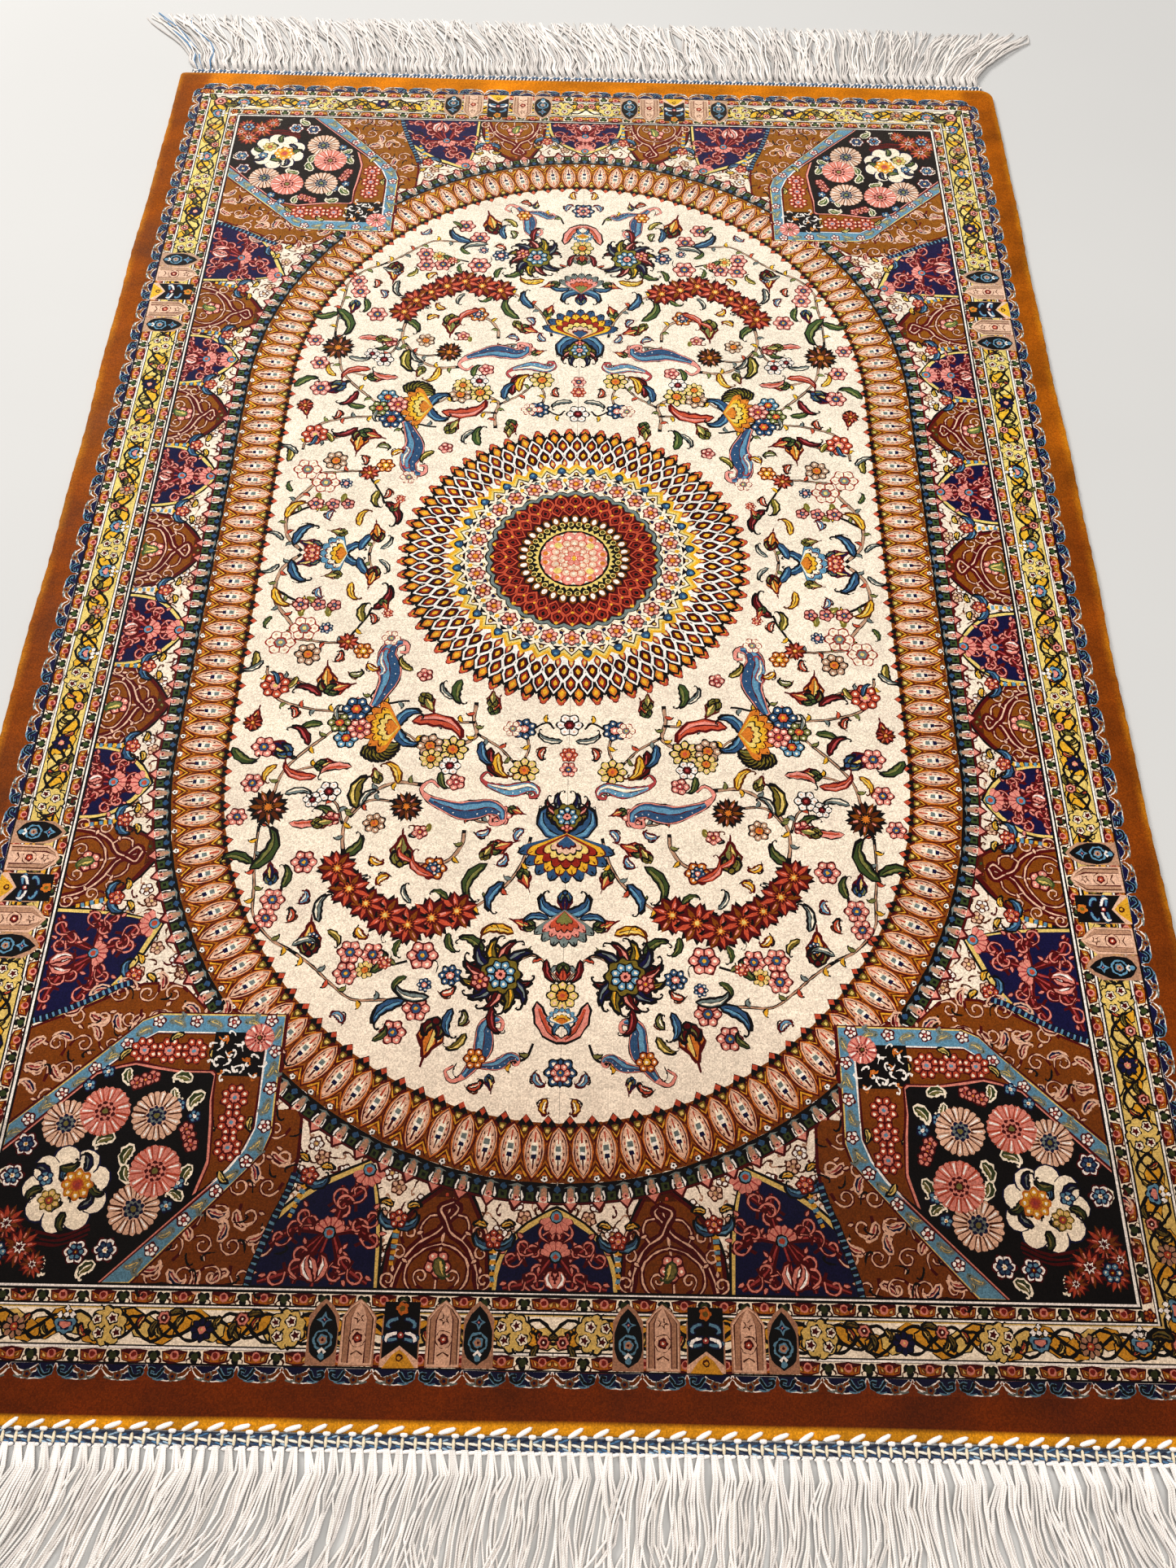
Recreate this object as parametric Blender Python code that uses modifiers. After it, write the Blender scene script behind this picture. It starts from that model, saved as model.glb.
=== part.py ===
"""A flat silk pile rug with a woven braid and a fringe at each short end.

The rug is one flat cloth. Each fringe is a narrow braided strip, parted from
the cloth's edge, with its tufts fused into the strip's outer side. The tufts
lie level on the floor, apart from one another.

Axes: X across the rug, Y along it, Z up. The origin is on the floor under the
middle of the rug.
"""
import math
import random

import bmesh
import bpy
from mathutils import Matrix

# Cloth
HALF_WIDTH = 0.5985
HALF_LENGTH = 0.907
CLOTH_THICKNESS = 0.005
PILE_ROUNDING = 0.0014
SIDE_STEPS = 36
END_STEPS = 12
SIDE_WAVES = ((0.0010, 0.62, 0.4), (0.0006, 0.21, 1.9))
END_WAVES = ((0.0005, 0.80, 0.2), (0.0003, 0.27, 1.1))
EDGE_FADE = 6.0
CORNER_RADIUS = 0.005
WORN_CORNER_RADIUS = 0.018
CORNER_STEPS = 5

# Braid at each end
GAP = 0.0003
BRAID_HALF_LENGTH = 0.584
BRAID_WIDTH = 0.012
BRAID_THICKNESS = 0.0034
BRAID_BEVEL = 0.0004

# Fringe
FRINGE_REACH = 0.1427
ROOT_DEPTH = 0.002
ROOT_LIFT = 0.0006
SETTLE_LENGTH = 0.010
TUFT_HEIGHT = 0.0022
TUFT_TOP_SHARE = 0.6
TIP_WIDTH_SHARE = 0.75
TUFT_STATIONS = (0.38, 0.70, 1.0)
TUFT_BEND = 1.6
TIP_JITTER = 0.0012
LENGTH_JITTER = 0.08
FULL_LENGTH_EVERY = 6
NEAR_TUFTS = 94
FAR_TUFTS = 130
NEAR_TUFT_WIDTH = 0.0052
FAR_TUFT_WIDTH = 0.0040

# How far a tuft's tip is swept sideways: place along the braid from -1 to 1, sweep in metres
NEAR_SWEEP = (
    (-1.00, -0.092),
    (-0.75, -0.062),
    (-0.35, -0.046),
    (0.00, -0.016),
    (0.45, 0.000),
    (0.75, 0.034),
    (1.00, 0.092),
)
FAR_SWEEP = (
    (-1.00, -0.092),
    (-0.86, -0.044),
    (-0.30, -0.046),
    (0.25, -0.038),
    (0.60, -0.012),
    (0.86, 0.034),
    (1.00, 0.092),
)

GOLD = (0.46, 0.23, 0.035, 1.0)
OFF_WHITE = (0.80, 0.77, 0.74, 1.0)
SEED = 7


def clear_scene():
    for obj in list(bpy.data.objects):
        bpy.data.objects.remove(obj, do_unlink=True)


def new_collection(name):
    collection = bpy.data.collections.new(name)
    bpy.context.scene.collection.children.link(collection)
    return collection


def new_material(name, color, roughness):
    material = bpy.data.materials.new(name)
    material.use_nodes = True
    shader = material.node_tree.nodes["Principled BSDF"]
    shader.inputs["Base Color"].default_value = color
    shader.inputs["Roughness"].default_value = roughness
    shader.inputs["Metallic"].default_value = 0.0
    return material


def new_object(name, data, collection):
    obj = bpy.data.objects.new(name, data)
    collection.objects.link(obj)
    return obj


def wave(waves, place):
    """The small unevenness of a hand-laid edge at a place along it."""
    return sum(depth * math.sin(math.tau * place / length + phase) for depth, length, phase in waves)


def corner(center, radius, start_angle):
    """The points of a rounded corner, a quarter turn anticlockwise."""
    return [
        (
            center[0] + radius * math.cos(start_angle + math.pi / 2 * step / CORNER_STEPS),
            center[1] + radius * math.sin(start_angle + math.pi / 2 * step / CORNER_STEPS),
        )
        for step in range(CORNER_STEPS + 1)
    ]


def spread(low, high, steps):
    """Evenly spaced places strictly between two ends."""
    return [low + (high - low) * step / steps for step in range(1, steps)]


def fade(place, half):
    """The waves die out towards the corners."""
    return min(1.0, EDGE_FADE * (1.0 - abs(place) / half))


def cloth_outline():
    """The rug's outline, anticlockwise from the near right corner."""
    radius = CORNER_RADIUS
    worn = WORN_CORNER_RADIUS
    x, y = HALF_WIDTH, HALF_LENGTH
    points = corner((x - radius, -y + radius), radius, -math.pi / 2)
    points += [(x + fade(v, y) * wave(SIDE_WAVES, v), v) for v in spread(-y + radius, y - worn, SIDE_STEPS)]
    points += corner((x - worn, y - worn), worn, 0.0)
    points += [(u, y + fade(u, x) * wave(END_WAVES, u)) for u in spread(x - worn, -x + radius, END_STEPS)]
    points += corner((-x + radius, y - radius), radius, math.pi / 2)
    points += [(-x + fade(v, y) * wave(SIDE_WAVES, v), v) for v in spread(y - radius, -y + radius, SIDE_STEPS)]
    points += corner((-x + radius, -y + radius), radius, math.pi)
    points += [(u, -y + fade(u, x) * wave(END_WAVES, u)) for u in spread(-x + radius, x - radius, END_STEPS)]
    return points


def add_cloth(collection):
    """The flat cloth: its outline as a filled curve, then a mesh with a rounded pile edge."""
    curve = bpy.data.curves.new("cloth_outline", "CURVE")
    curve.dimensions = "2D"
    curve.fill_mode = "BOTH"
    curve.extrude = CLOTH_THICKNESS / 2
    outline = cloth_outline()
    spline = curve.splines.new("POLY")
    spline.points.add(len(outline) - 1)
    for point, (x, y) in zip(spline.points, outline):
        point.co = (x, y, 0.0, 1.0)
    spline.use_cyclic_u = True
    drawn = new_object("cloth_outline", curve, collection)
    graph = bpy.context.evaluated_depsgraph_get()
    mesh = bpy.data.meshes.new_from_object(drawn.evaluated_get(graph))
    bpy.data.objects.remove(drawn, do_unlink=True)
    mesh.name = "rug_cloth"

    body = bmesh.new()
    body.from_mesh(mesh)
    bmesh.ops.remove_doubles(body, verts=body.verts, dist=0.00005)
    top_rim = [
        edge
        for edge in body.edges
        if all(vert.co.z > 0 for vert in edge.verts)
        and abs(edge.link_faces[0].normal.z - edge.link_faces[1].normal.z) > 0.5
    ]
    bmesh.ops.bevel(
        body,
        geom=top_rim,
        offset=PILE_ROUNDING,
        segments=2,
        profile=0.5,
        affect="EDGES",
    )
    bmesh.ops.translate(body, verts=body.verts, vec=(0.0, 0.0, CLOTH_THICKNESS / 2))
    body.to_mesh(mesh)
    body.free()
    cloth = new_object("rug_cloth", mesh, collection)
    mesh.materials.append(new_material("gold_pile", GOLD, 0.6))
    return cloth


def sweep_at(table, place):
    """A tuft's sweep at a place along the braid, read between the table's rows."""
    for (start, sweep_start), (end, sweep_end) in zip(table, table[1:]):
        if place <= end:
            share = (place - start) / (end - start)
            return sweep_start + share * (sweep_end - sweep_start)
    return table[-1][1]


def tuft_path(root_x, sweep, reach):
    """Points (across, out from the root, height) from inside the braid to the tip."""
    path = [(root_x, 0.0, ROOT_LIFT), (root_x, ROOT_DEPTH, ROOT_LIFT), (root_x, SETTLE_LENGTH, 0.0)]
    for share in TUFT_STATIONS:
        bend = TUFT_BEND * share**2 - (TUFT_BEND - 1.0) * share**3
        path.append((root_x + sweep * bend, SETTLE_LENGTH + (reach - SETTLE_LENGTH) * share, 0.0))
    return path


def add_tuft(body, path, width, out):
    """One tuft: a four-sided flattened lock lofted along its path."""
    rings = []
    for index, (across, along, height) in enumerate(path):
        before = path[max(index - 1, 0)]
        after = path[min(index + 1, len(path) - 1)]
        run = math.hypot(after[0] - before[0], after[1] - before[1])
        side = ((after[1] - before[1]) / run, -(after[0] - before[0]) / run)
        taper = 1.0 - (1.0 - TIP_WIDTH_SHARE) * along / FRINGE_REACH
        ring = []
        for half, lift in ((-0.5, 0.0), (0.5, 0.0), (0.5 * TUFT_TOP_SHARE, 1.0), (-0.5 * TUFT_TOP_SHARE, 1.0)):
            offset = half * width * taper
            ring.append(
                body.verts.new(
                    (
                        across + side[0] * offset,
                        out * (along + side[1] * offset),
                        height + lift * TUFT_HEIGHT,
                    )
                )
            )
        rings.append(ring)
    for ring, following in zip(rings, rings[1:]):
        for corner_index in range(4):
            beside = (corner_index + 1) % 4
            body.faces.new((ring[corner_index], ring[beside], following[beside], following[corner_index]))
    body.faces.new(rings[0][::-1])
    body.faces.new(rings[-1])


def add_fringe(name, out, count, width, sweeps, collection, cutters, generator):
    """A braided strip along one end (out is 1 at the far end, -1 at the near one) and its tufts."""
    inner = HALF_LENGTH + GAP + wave_margin()
    bpy.ops.mesh.primitive_cube_add(size=1.0, location=(0.0, 0.0, 0.0))
    strip = bpy.context.object
    strip.name = name
    strip.data.name = name
    for owner in list(strip.users_collection):
        owner.objects.unlink(strip)
    collection.objects.link(strip)
    strip.data.transform(strip_matrix(inner, out))
    bevel = strip.modifiers.new("rounded_braid", "BEVEL")
    bevel.width = BRAID_BEVEL
    bevel.segments = 1
    bevel.limit_method = "ANGLE"

    body = bmesh.new()
    root_y = inner + BRAID_WIDTH - ROOT_DEPTH
    spread_width = 2 * BRAID_HALF_LENGTH - 2 * width
    for index in range(count):
        place = 2 * index / (count - 1) - 1
        sweep = sweep_at(sweeps, place)
        reach = FRINGE_REACH + ROOT_DEPTH
        if 0 < index < count - 1:
            sweep += generator.uniform(-TIP_JITTER, TIP_JITTER)
        if index % FULL_LENGTH_EVERY:
            reach *= 1.0 - LENGTH_JITTER * generator.random()
        path = tuft_path(place * spread_width / 2, sweep, reach)
        add_tuft(body, path, width, out)
    bmesh.ops.translate(body, verts=body.verts, vec=(0.0, out * root_y, 0.0))
    bmesh.ops.recalc_face_normals(body, faces=body.faces)
    mesh = bpy.data.meshes.new(name + "_tufts")
    body.to_mesh(mesh)
    body.free()
    tufts = new_object(name + "_tufts", mesh, cutters)
    tufts.hide_render = True
    tufts.display_type = "WIRE"

    union = strip.modifiers.new("tufts", "BOOLEAN")
    union.operation = "UNION"
    union.solver = "EXACT"
    union.object = tufts
    strip.data.materials.append(new_material(name + "_yarn", OFF_WHITE, 0.85))
    mesh.materials.append(strip.data.materials[0])
    return strip


def wave_margin():
    """Room for the end's own unevenness, so that the braid stays clear of the cloth."""
    return sum(depth for depth, _, _ in END_WAVES)


def strip_matrix(inner, out):
    """Scales a unit cube to the braid and lays it on the floor beside the cloth's end."""
    size = Matrix.Diagonal((2 * BRAID_HALF_LENGTH, BRAID_WIDTH, BRAID_THICKNESS, 1.0))
    place = Matrix.Translation((0.0, out * (inner + BRAID_WIDTH / 2), BRAID_THICKNESS / 2))
    return place @ size


def main():
    clear_scene()
    generator = random.Random(SEED)
    collection = new_collection("turkish_silk_rug")
    cutters = new_collection("cutters")
    add_cloth(collection)
    add_fringe(
        "fringe_far", 1, FAR_TUFTS, FAR_TUFT_WIDTH, FAR_SWEEP, collection, cutters, generator
    )
    add_fringe(
        "fringe_near", -1, NEAR_TUFTS, NEAR_TUFT_WIDTH, NEAR_SWEEP, collection, cutters, generator
    )


main()
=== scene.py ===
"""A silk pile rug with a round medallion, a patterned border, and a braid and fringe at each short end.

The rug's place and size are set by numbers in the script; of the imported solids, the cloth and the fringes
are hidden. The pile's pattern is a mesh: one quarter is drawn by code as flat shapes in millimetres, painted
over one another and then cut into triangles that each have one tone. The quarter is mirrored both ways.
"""
import math

import bpy
import numpy as np
from mathutils import Matrix, Vector
from mathutils.bvhtree import BVHTree
from mathutils.geometry import delaunay_2d_cdt


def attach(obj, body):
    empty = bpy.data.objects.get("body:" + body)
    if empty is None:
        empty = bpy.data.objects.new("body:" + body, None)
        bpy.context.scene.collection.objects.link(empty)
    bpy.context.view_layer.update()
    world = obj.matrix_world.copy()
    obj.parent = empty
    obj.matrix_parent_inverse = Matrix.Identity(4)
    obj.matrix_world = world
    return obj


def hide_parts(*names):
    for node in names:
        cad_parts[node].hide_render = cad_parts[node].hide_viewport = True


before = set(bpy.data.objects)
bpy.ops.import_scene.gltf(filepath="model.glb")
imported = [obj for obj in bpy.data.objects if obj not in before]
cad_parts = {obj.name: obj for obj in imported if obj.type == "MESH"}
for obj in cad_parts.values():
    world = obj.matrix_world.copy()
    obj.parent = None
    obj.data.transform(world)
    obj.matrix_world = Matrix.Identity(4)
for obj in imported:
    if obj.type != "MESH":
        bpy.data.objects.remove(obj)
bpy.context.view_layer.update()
# Pattern tones, as sRGB
TONES = {
    "ivory": (243, 228, 206),
    "cream": (248, 234, 208),
    "white": (244, 236, 226),
    "shell": (232, 192, 164),
    "taupe": (190, 152, 124),
    "gold": (200, 126, 20),
    "plain": (206, 118, 10),  # the margin's ground, given the margin's painted sheen and painted shade
    "rust": (134, 74, 12),
    "brown": (84, 36, 8),
    "wine": (84, 10, 12),
    "red": (150, 40, 28),
    "coral": (200, 84, 56),
    "pink": (232, 150, 136),
    "rose": (180, 72, 74),
    "orange": (216, 128, 42),
    "yellow": (234, 182, 46),
    "straw": (232, 208, 116),
    "olive": (118, 110, 36),
    "green": (58, 82, 40),
    "leaf": (124, 132, 70),
    "sky": (94, 144, 172),
    "blue": (44, 76, 112),
    "steel": (112, 124, 120),
    "navy": (18, 16, 56),
    "ink": (16, 13, 14),
}

TAU = 2 * np.pi
EDGE = 1.6  # width of a drawn outline, in pattern millimetres
canvas = []  # what is drawn, in order: (closed outline as complex millimetres, tone)


def draw(points, tone):
    """Puts an outline on top of what is drawn."""
    canvas.append((points, tone))


def moved(motif, at=0, turn=0, size=1.0, flip=False):
    """A motif's layers, scaled, turned by degrees and put in place."""
    move = size * np.exp(1j * np.radians(turn))
    return [(at + move * (np.conj(points) if flip else points), tone) for points, tone in motif]


def stamp(motif, at, turn=0, size=1.0, flip=False):
    """Draws a motif, turned by degrees, at a place."""
    canvas.extend(moved(motif, at, turn, size, flip))


# Shapes

def disc(radius, steps=12):
    """A round outline."""
    return radius * np.exp(1j * TAU * np.arange(steps) / steps)


def mirrored(points, flip=-1):
    """The points as drawn, or swapped left for right where flip is -1."""
    return points if flip > 0 else -points.real + 1j * points.imag


def lobed(radius, lobes, depth=0.2, steps=5):
    """A round outline with rounded petals."""
    angle = np.arange(lobes * steps) * TAU / (lobes * steps)
    return radius * (1 - depth * (1 - np.abs(np.cos(angle * lobes / 2)))) * np.exp(1j * angle)


def star(radius, points, inner=0.55):
    """An outline with pointed rays."""
    reach = np.where(np.arange(2 * points) % 2 == 0, radius, radius * inner)
    return reach * np.exp(1j * np.pi * np.arange(2 * points) / points)


def spine(length, turn=0.0, curl=0.0, shrink=0.0, steps=8):
    """A line that starts along +x, bends evenly by turn and winds up by curl towards its end."""
    t = (np.arange(steps) + 0.5) / steps
    heading = np.radians(turn) * t + np.radians(curl) * t**3
    pace = (1 - shrink * t) * np.exp(1j * heading)
    return np.concatenate([[0], np.cumsum(pace) * length / steps])


def smooth(knots, steps=5):
    """A curve through given points."""
    knots = np.asarray(knots, complex)
    ends = np.concatenate([[2 * knots[0] - knots[1]], knots, [2 * knots[-1] - knots[-2]]])
    t = (np.arange(steps) / steps)[:, None]
    a, b, c, d = (ends[i : len(ends) - 3 + i] for i in range(4))
    curve = b + 0.5 * t * (c - a + t * (2 * a - 5 * b + 4 * c - d + t * (3 * (b - c) + d - a)))
    return np.append(curve.T.ravel(), knots[-1])


def sides(line, width):
    """How far each of a line's points lies from the ribbon's side."""
    way = np.gradient(line)
    return 1j * way / np.abs(way) * np.asarray(width) / 2


def closed(points):
    """Without points that lie on each other."""
    return points[np.abs(points - np.roll(points, 1)) > 0.04]


def walked(line):
    """How far along a line each of its points is."""
    return np.concatenate([[0], np.cumsum(np.abs(np.diff(line)))])


def along_line(spots, length, values):
    """Complex values at given lengths along a line."""
    return np.interp(spots, length, values.real) + 1j * np.interp(spots, length, values.imag)


def ribbon(line, width):
    """The outline of a line with a width."""
    side = sides(line, width)
    return closed(np.concatenate([line + side, (line - side)[::-1]]))


def half_ribbon(line, width):
    """The half of a ribbon that is left of its line."""
    return closed(np.concatenate([line, (line + sides(line, width))[::-1]]))


def swell(count, peak=0.45):
    """A leaf's width along its length, from 0 to 1 and back."""
    t = np.linspace(0, 1, count)
    return np.sin(np.pi * t ** (np.log(0.5) / np.log(peak))) ** 0.85


# Motifs: lists of layers, each an outline and a tone

def leaf(length, width, turn=35, tone="green", light="leaf", edge="ink", peak=0.42):
    """A curved leaf from the origin along +x, with a lit half, a vein and a hooked tip."""
    hook = 55 * np.sign(turn)
    line = spine(length, turn, hook, steps=8)
    shape = 0.92 * width * swell(9, peak) * (1.06 + 0.15 * np.array([0, 1, -1, 1, -1, 1, -1, 1, 0]))
    rim = spine(length + 3.2, turn, hook, steps=8) - 1.4
    way = (line[-1] - line[-2]) / abs(line[-1] - line[-2])
    whip = line[-1] + way * (spine(0.5 * length, 30 * np.sign(turn), 250 * np.sign(turn), 0.5, 6) - 1)
    return [
        (ribbon(rim, shape + 2.7 * (shape > 0) + 0.7), edge),
        *([(ribbon(whip, (2.2, 2.0, 1.8, 1.6, 1.6, 1.6, 1.4)), edge)] if length > 13 else []),
        (ribbon(line, shape), tone),
        (half_ribbon(line[1:-1], shape[1:-1] * 0.72), light),
        (ribbon(line[1:-1], 0.8), edge),
    ]


def curl(length, width, turn=60, wind=300, tone="ink"):
    """A tendril that winds up at its end."""
    line = spine(length, turn, wind, 0.75, steps=18)
    t = np.linspace(0, 1, len(line))
    return [(ribbon(line, width * (0.45 + 0.55 * np.sin(np.pi * t) ** 0.5)), tone)]


def bloom(radius, petals, petal, heart, edge="wine", eye="yellow", depth=0.28):
    """A round flower with petals, a heart and an eye."""
    layers = [(lobed(radius + EDGE, petals, depth), edge), (lobed(radius, petals, depth), petal)]
    shine = "shell" if petal in ("cream", "white", "straw") else "cream"
    for k in range(petals):
        ray = np.exp(1j * TAU * (k + 0.5) / petals)
        layers.append((ribbon(np.array([0.4, 0.85]) * radius * ray, 1.3), edge))
        if radius > 7:
            layers.append((disc(0.13 * radius, 5) + 0.75 * radius * np.exp(1j * TAU * k / petals), shine))
    layers += [
        (lobed(0.5 * radius, petals, 0.2, 4), edge),
        (lobed(0.38 * radius, petals, 0.2, 4), heart),
        (disc(0.16 * radius, 7), eye),
    ]
    return layers


def ruffled(radius, petal="coral", shade="wine", heart="straw", rays=9):
    """A ragged flower, as in the garlands."""
    layers = [
        (star(radius + 2.6, rays, 0.66) * np.exp(0.2j), "ink"), (star(radius + 1.6, rays, 0.72), shade),
    ]
    for k in range(rays):
        turn, reach = 360 * k / rays, radius * (1 + 0.14 * math.sin(5 * k))
        tone = petal if k % 3 else "rust"
        layers += moved(
            [(ribbon(np.array([0.3, 0.62, 1.02]) * reach, (2.6, radius * 0.26, 0.5)), tone)], 0, turn,
        )
        if k % 2:
            layers += moved([(ribbon(np.array([0.46, 0.74]) * reach, (1.5, 0.8)), "pink")], 0, turn + 3)
    return layers + [
        (star(radius * 0.44, rays, 0.6), shade), (star(radius * 0.3, rays, 0.5), "orange"),
        (disc(radius * 0.12, 6), heart),
    ]


def daisy(radius, petal, stripe, heart, petals=22):
    """A full flower with many striped petals."""
    layers = [(lobed(radius, petals, 0.1, 4), petal)]
    for k in range(petals):
        ray = np.exp(1j * TAU * (k + 0.5) / petals)
        layers.append((ribbon(np.array([0.42, 0.68, 0.98]) * radius * ray, (1.3, 1.0, 1.2)), stripe))
        if k % 2:
            between = np.array([0.5, 0.9]) * radius * ray * np.exp(1j * np.pi / petals)
            layers.append((ribbon(between, (1.2, 1.6)), "white"))
    layers += [
        (lobed(0.42 * radius, 9, 0.24, 4), heart),
        (lobed(0.33 * radius, 9, 0.24, 4) * np.exp(0.3j), "steel" if heart == "navy" else "pink"),
        (lobed(0.24 * radius, 7, 0.3, 4), heart),
        (disc(0.12 * radius, 8), "leaf"),
    ]
    return layers


def tulip(length, tone="coral", light="cream", calyx="green", edge="ink"):
    """A bud on its calyx, opening along +x."""
    layers = []
    for turn, share in ((-34, 0.8), (34, 0.8), (0, 1.0)):
        bend = -turn * 1.2
        layers += moved(
            leaf(length * share, length * 0.36, bend, tone, light if turn else "straw", "wine"), 0, turn
        )
    for turn in (-62, 62):
        layers += moved(leaf(length * 0.5, length * 0.2, -turn * 0.9, calyx, "leaf", edge), 0, turn)
    layers += [(disc(length * 0.15, 8), edge), (disc(length * 0.09, 6), calyx)]
    return layers


def fan(radius, lobes, opening, base=0.1):
    """A scalloped fan that opens along +x."""
    steps = lobes * 4
    angle = np.linspace(-1, 1, steps + 1) * np.radians(opening)
    wave = 1 - 0.16 * (1 - np.abs(np.cos(np.linspace(0, lobes * np.pi, steps + 1) + np.pi / 2)))
    return np.append(radius * wave * np.exp(1j * angle), -base * radius)


def palmette(radius, tones, opening=100, lobes=9):
    """Nested scalloped fans on two leaves."""
    layers = []
    for turn in (-opening - 22, opening + 22):
        layers += moved(leaf(radius * 0.95, radius * 0.26, np.sign(turn) * 70, "blue", "sky"), 0, turn)
    for k, tone in enumerate(tones):
        share = 1 - k / (len(tones) + 0.6)
        edge = "ink" if k % 2 == 0 else "wine"
        layers.append((fan(radius * share + 1.5, lobes - k, opening - 5 * k), edge))
        layers.append((fan(radius * share, lobes - k, opening - 5 * k), tone))
        rays = lobes - k if k < 2 else 0
        for i in range(rays):
            angle = np.radians((opening - 5 * k) * (2 * (i + 0.5) / rays - 1))
            dash = np.array([share - 0.1, share - 0.02]) * radius * np.exp(1j * angle)
            layers.append((ribbon(dash, 1.0), edge))
    return layers


def boteh(size, tone="blue", light="sky", rim="pink"):
    """A drop bent like an S, with both its ends wound up."""
    knots = (
        -25 - 22j, -33 - 30j, -24 - 40j, -12 - 32j, -4 - 18j, 3 - 2j, 3 + 14j, 1 + 27j, 8 + 38j, 19 + 38j,
        20 + 28j, 13 + 28j,
    )
    line = smooth([size * knot / 80 for knot in knots], 3)
    t = np.linspace(0, 1, len(line))
    width = size * 0.27 * np.interp(
        t, (0, 0.2, 0.38, 0.5, 0.66, 0.82, 1), (0.05, 0.12, 0.6, 1, 0.72, 0.16, 0.06),
    )
    body = slice(9, 27)
    inner = np.maximum(width[body] - 2.6, 0.4)
    dots = [(disc(0.9, 5) + line[k] - sides(line, width * 0.5)[k], "white") for k in range(12, 25, 2)]
    return [
        (ribbon(line, width + 3.0), "ink"),
        (ribbon(line, width + 0.9), rim),
        (ribbon(line[body], inner + 1.2), "wine"),
        (ribbon(line[body], inner), tone),
        (half_ribbon(line[body], inner * 0.72), light),
        (ribbon(line[10:25], 1.3), "wine"),
        *dots,
    ]


def sprig(tone="pink", heart="blue"):
    """Three small flowers on a short stem with leaves."""
    layers = [(ribbon(smooth([-20, -6 + 3j, 8 - 2j, 22]), 1.3), "ink")]
    for at, turn in ((-12 + 2j, 60), (2 - 1j, -60), (14 + 1j, 60)):
        layers += moved(leaf(11, 4, 20, "leaf", "straw", "olive"), at, turn)
    for at, radius in ((-15 + 1j, 6), (0, 6.5), (17 - 1j, 7.5)):
        layers += moved(bloom(radius, 5, tone, heart), at)
    return layers


def grand(radius=24):
    """A great many-coloured flower head with crested leaves."""
    layers = []
    for k in range(9):
        turn = -70 + 140 * k / 8 + 90
        layers += moved(leaf(radius * 0.75, 6.5, 20, "olive", "leaf"), 0.72j * radius, turn)
    layers += moved(
        palmette(radius * 1.25, ("orange", "yellow", "straw", "orange"), 70, 7), -0.6 * radius,
    )
    for at, size, tone in (
        (1.2 + 0.5j, 0.42, "sky"), (0.95 - 0.75j, 0.5, "blue"), (1.5 - 0.15j, 0.4, "leaf"),
    ):
        layers += moved(bloom(radius * size, 6, tone, "coral", "ink"), radius * at)
    layers += moved(bloom(radius * 0.42, 7, "pink", "rose"), radius * (0.75 + 0.1j))
    return layers


def feathered(radius=30):
    """A dark feathery palmette."""
    layers = []
    for k in range(19):
        turn = -135 + 270 * k / 18
        tone = ("navy", "olive", "wine")[k % 3]
        light = ("steel", "yellow", "pink")[k % 3]
        layers += moved(
            leaf(radius * (1 - 0.18 * (k % 2)), 6.5, 26 if k % 2 else -26, tone, light), 0, turn,
        )
    layers += [(lobed(radius * 0.56, 9, 0.22), "ink"), (lobed(radius * 0.5, 9, 0.22), "olive")]
    layers += moved(bloom(radius * 0.36, 8, "sky", "pink", "ink", "wine"))
    layers += moved(bloom(radius * 0.2, 6, "pink", "rose"), radius * 0.52)
    return layers


def trefoil(radius=3.6):
    """Three dark lobes round a green one."""
    layers = [
        (disc(radius * 0.72, 8) + radius * 0.62 * np.exp(1j * TAU * (k / 3 + 0.25)), "ink")
        for k in range(3)
    ]
    layers.append((disc(radius * 0.72, 8), "green"))
    return layers


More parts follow.
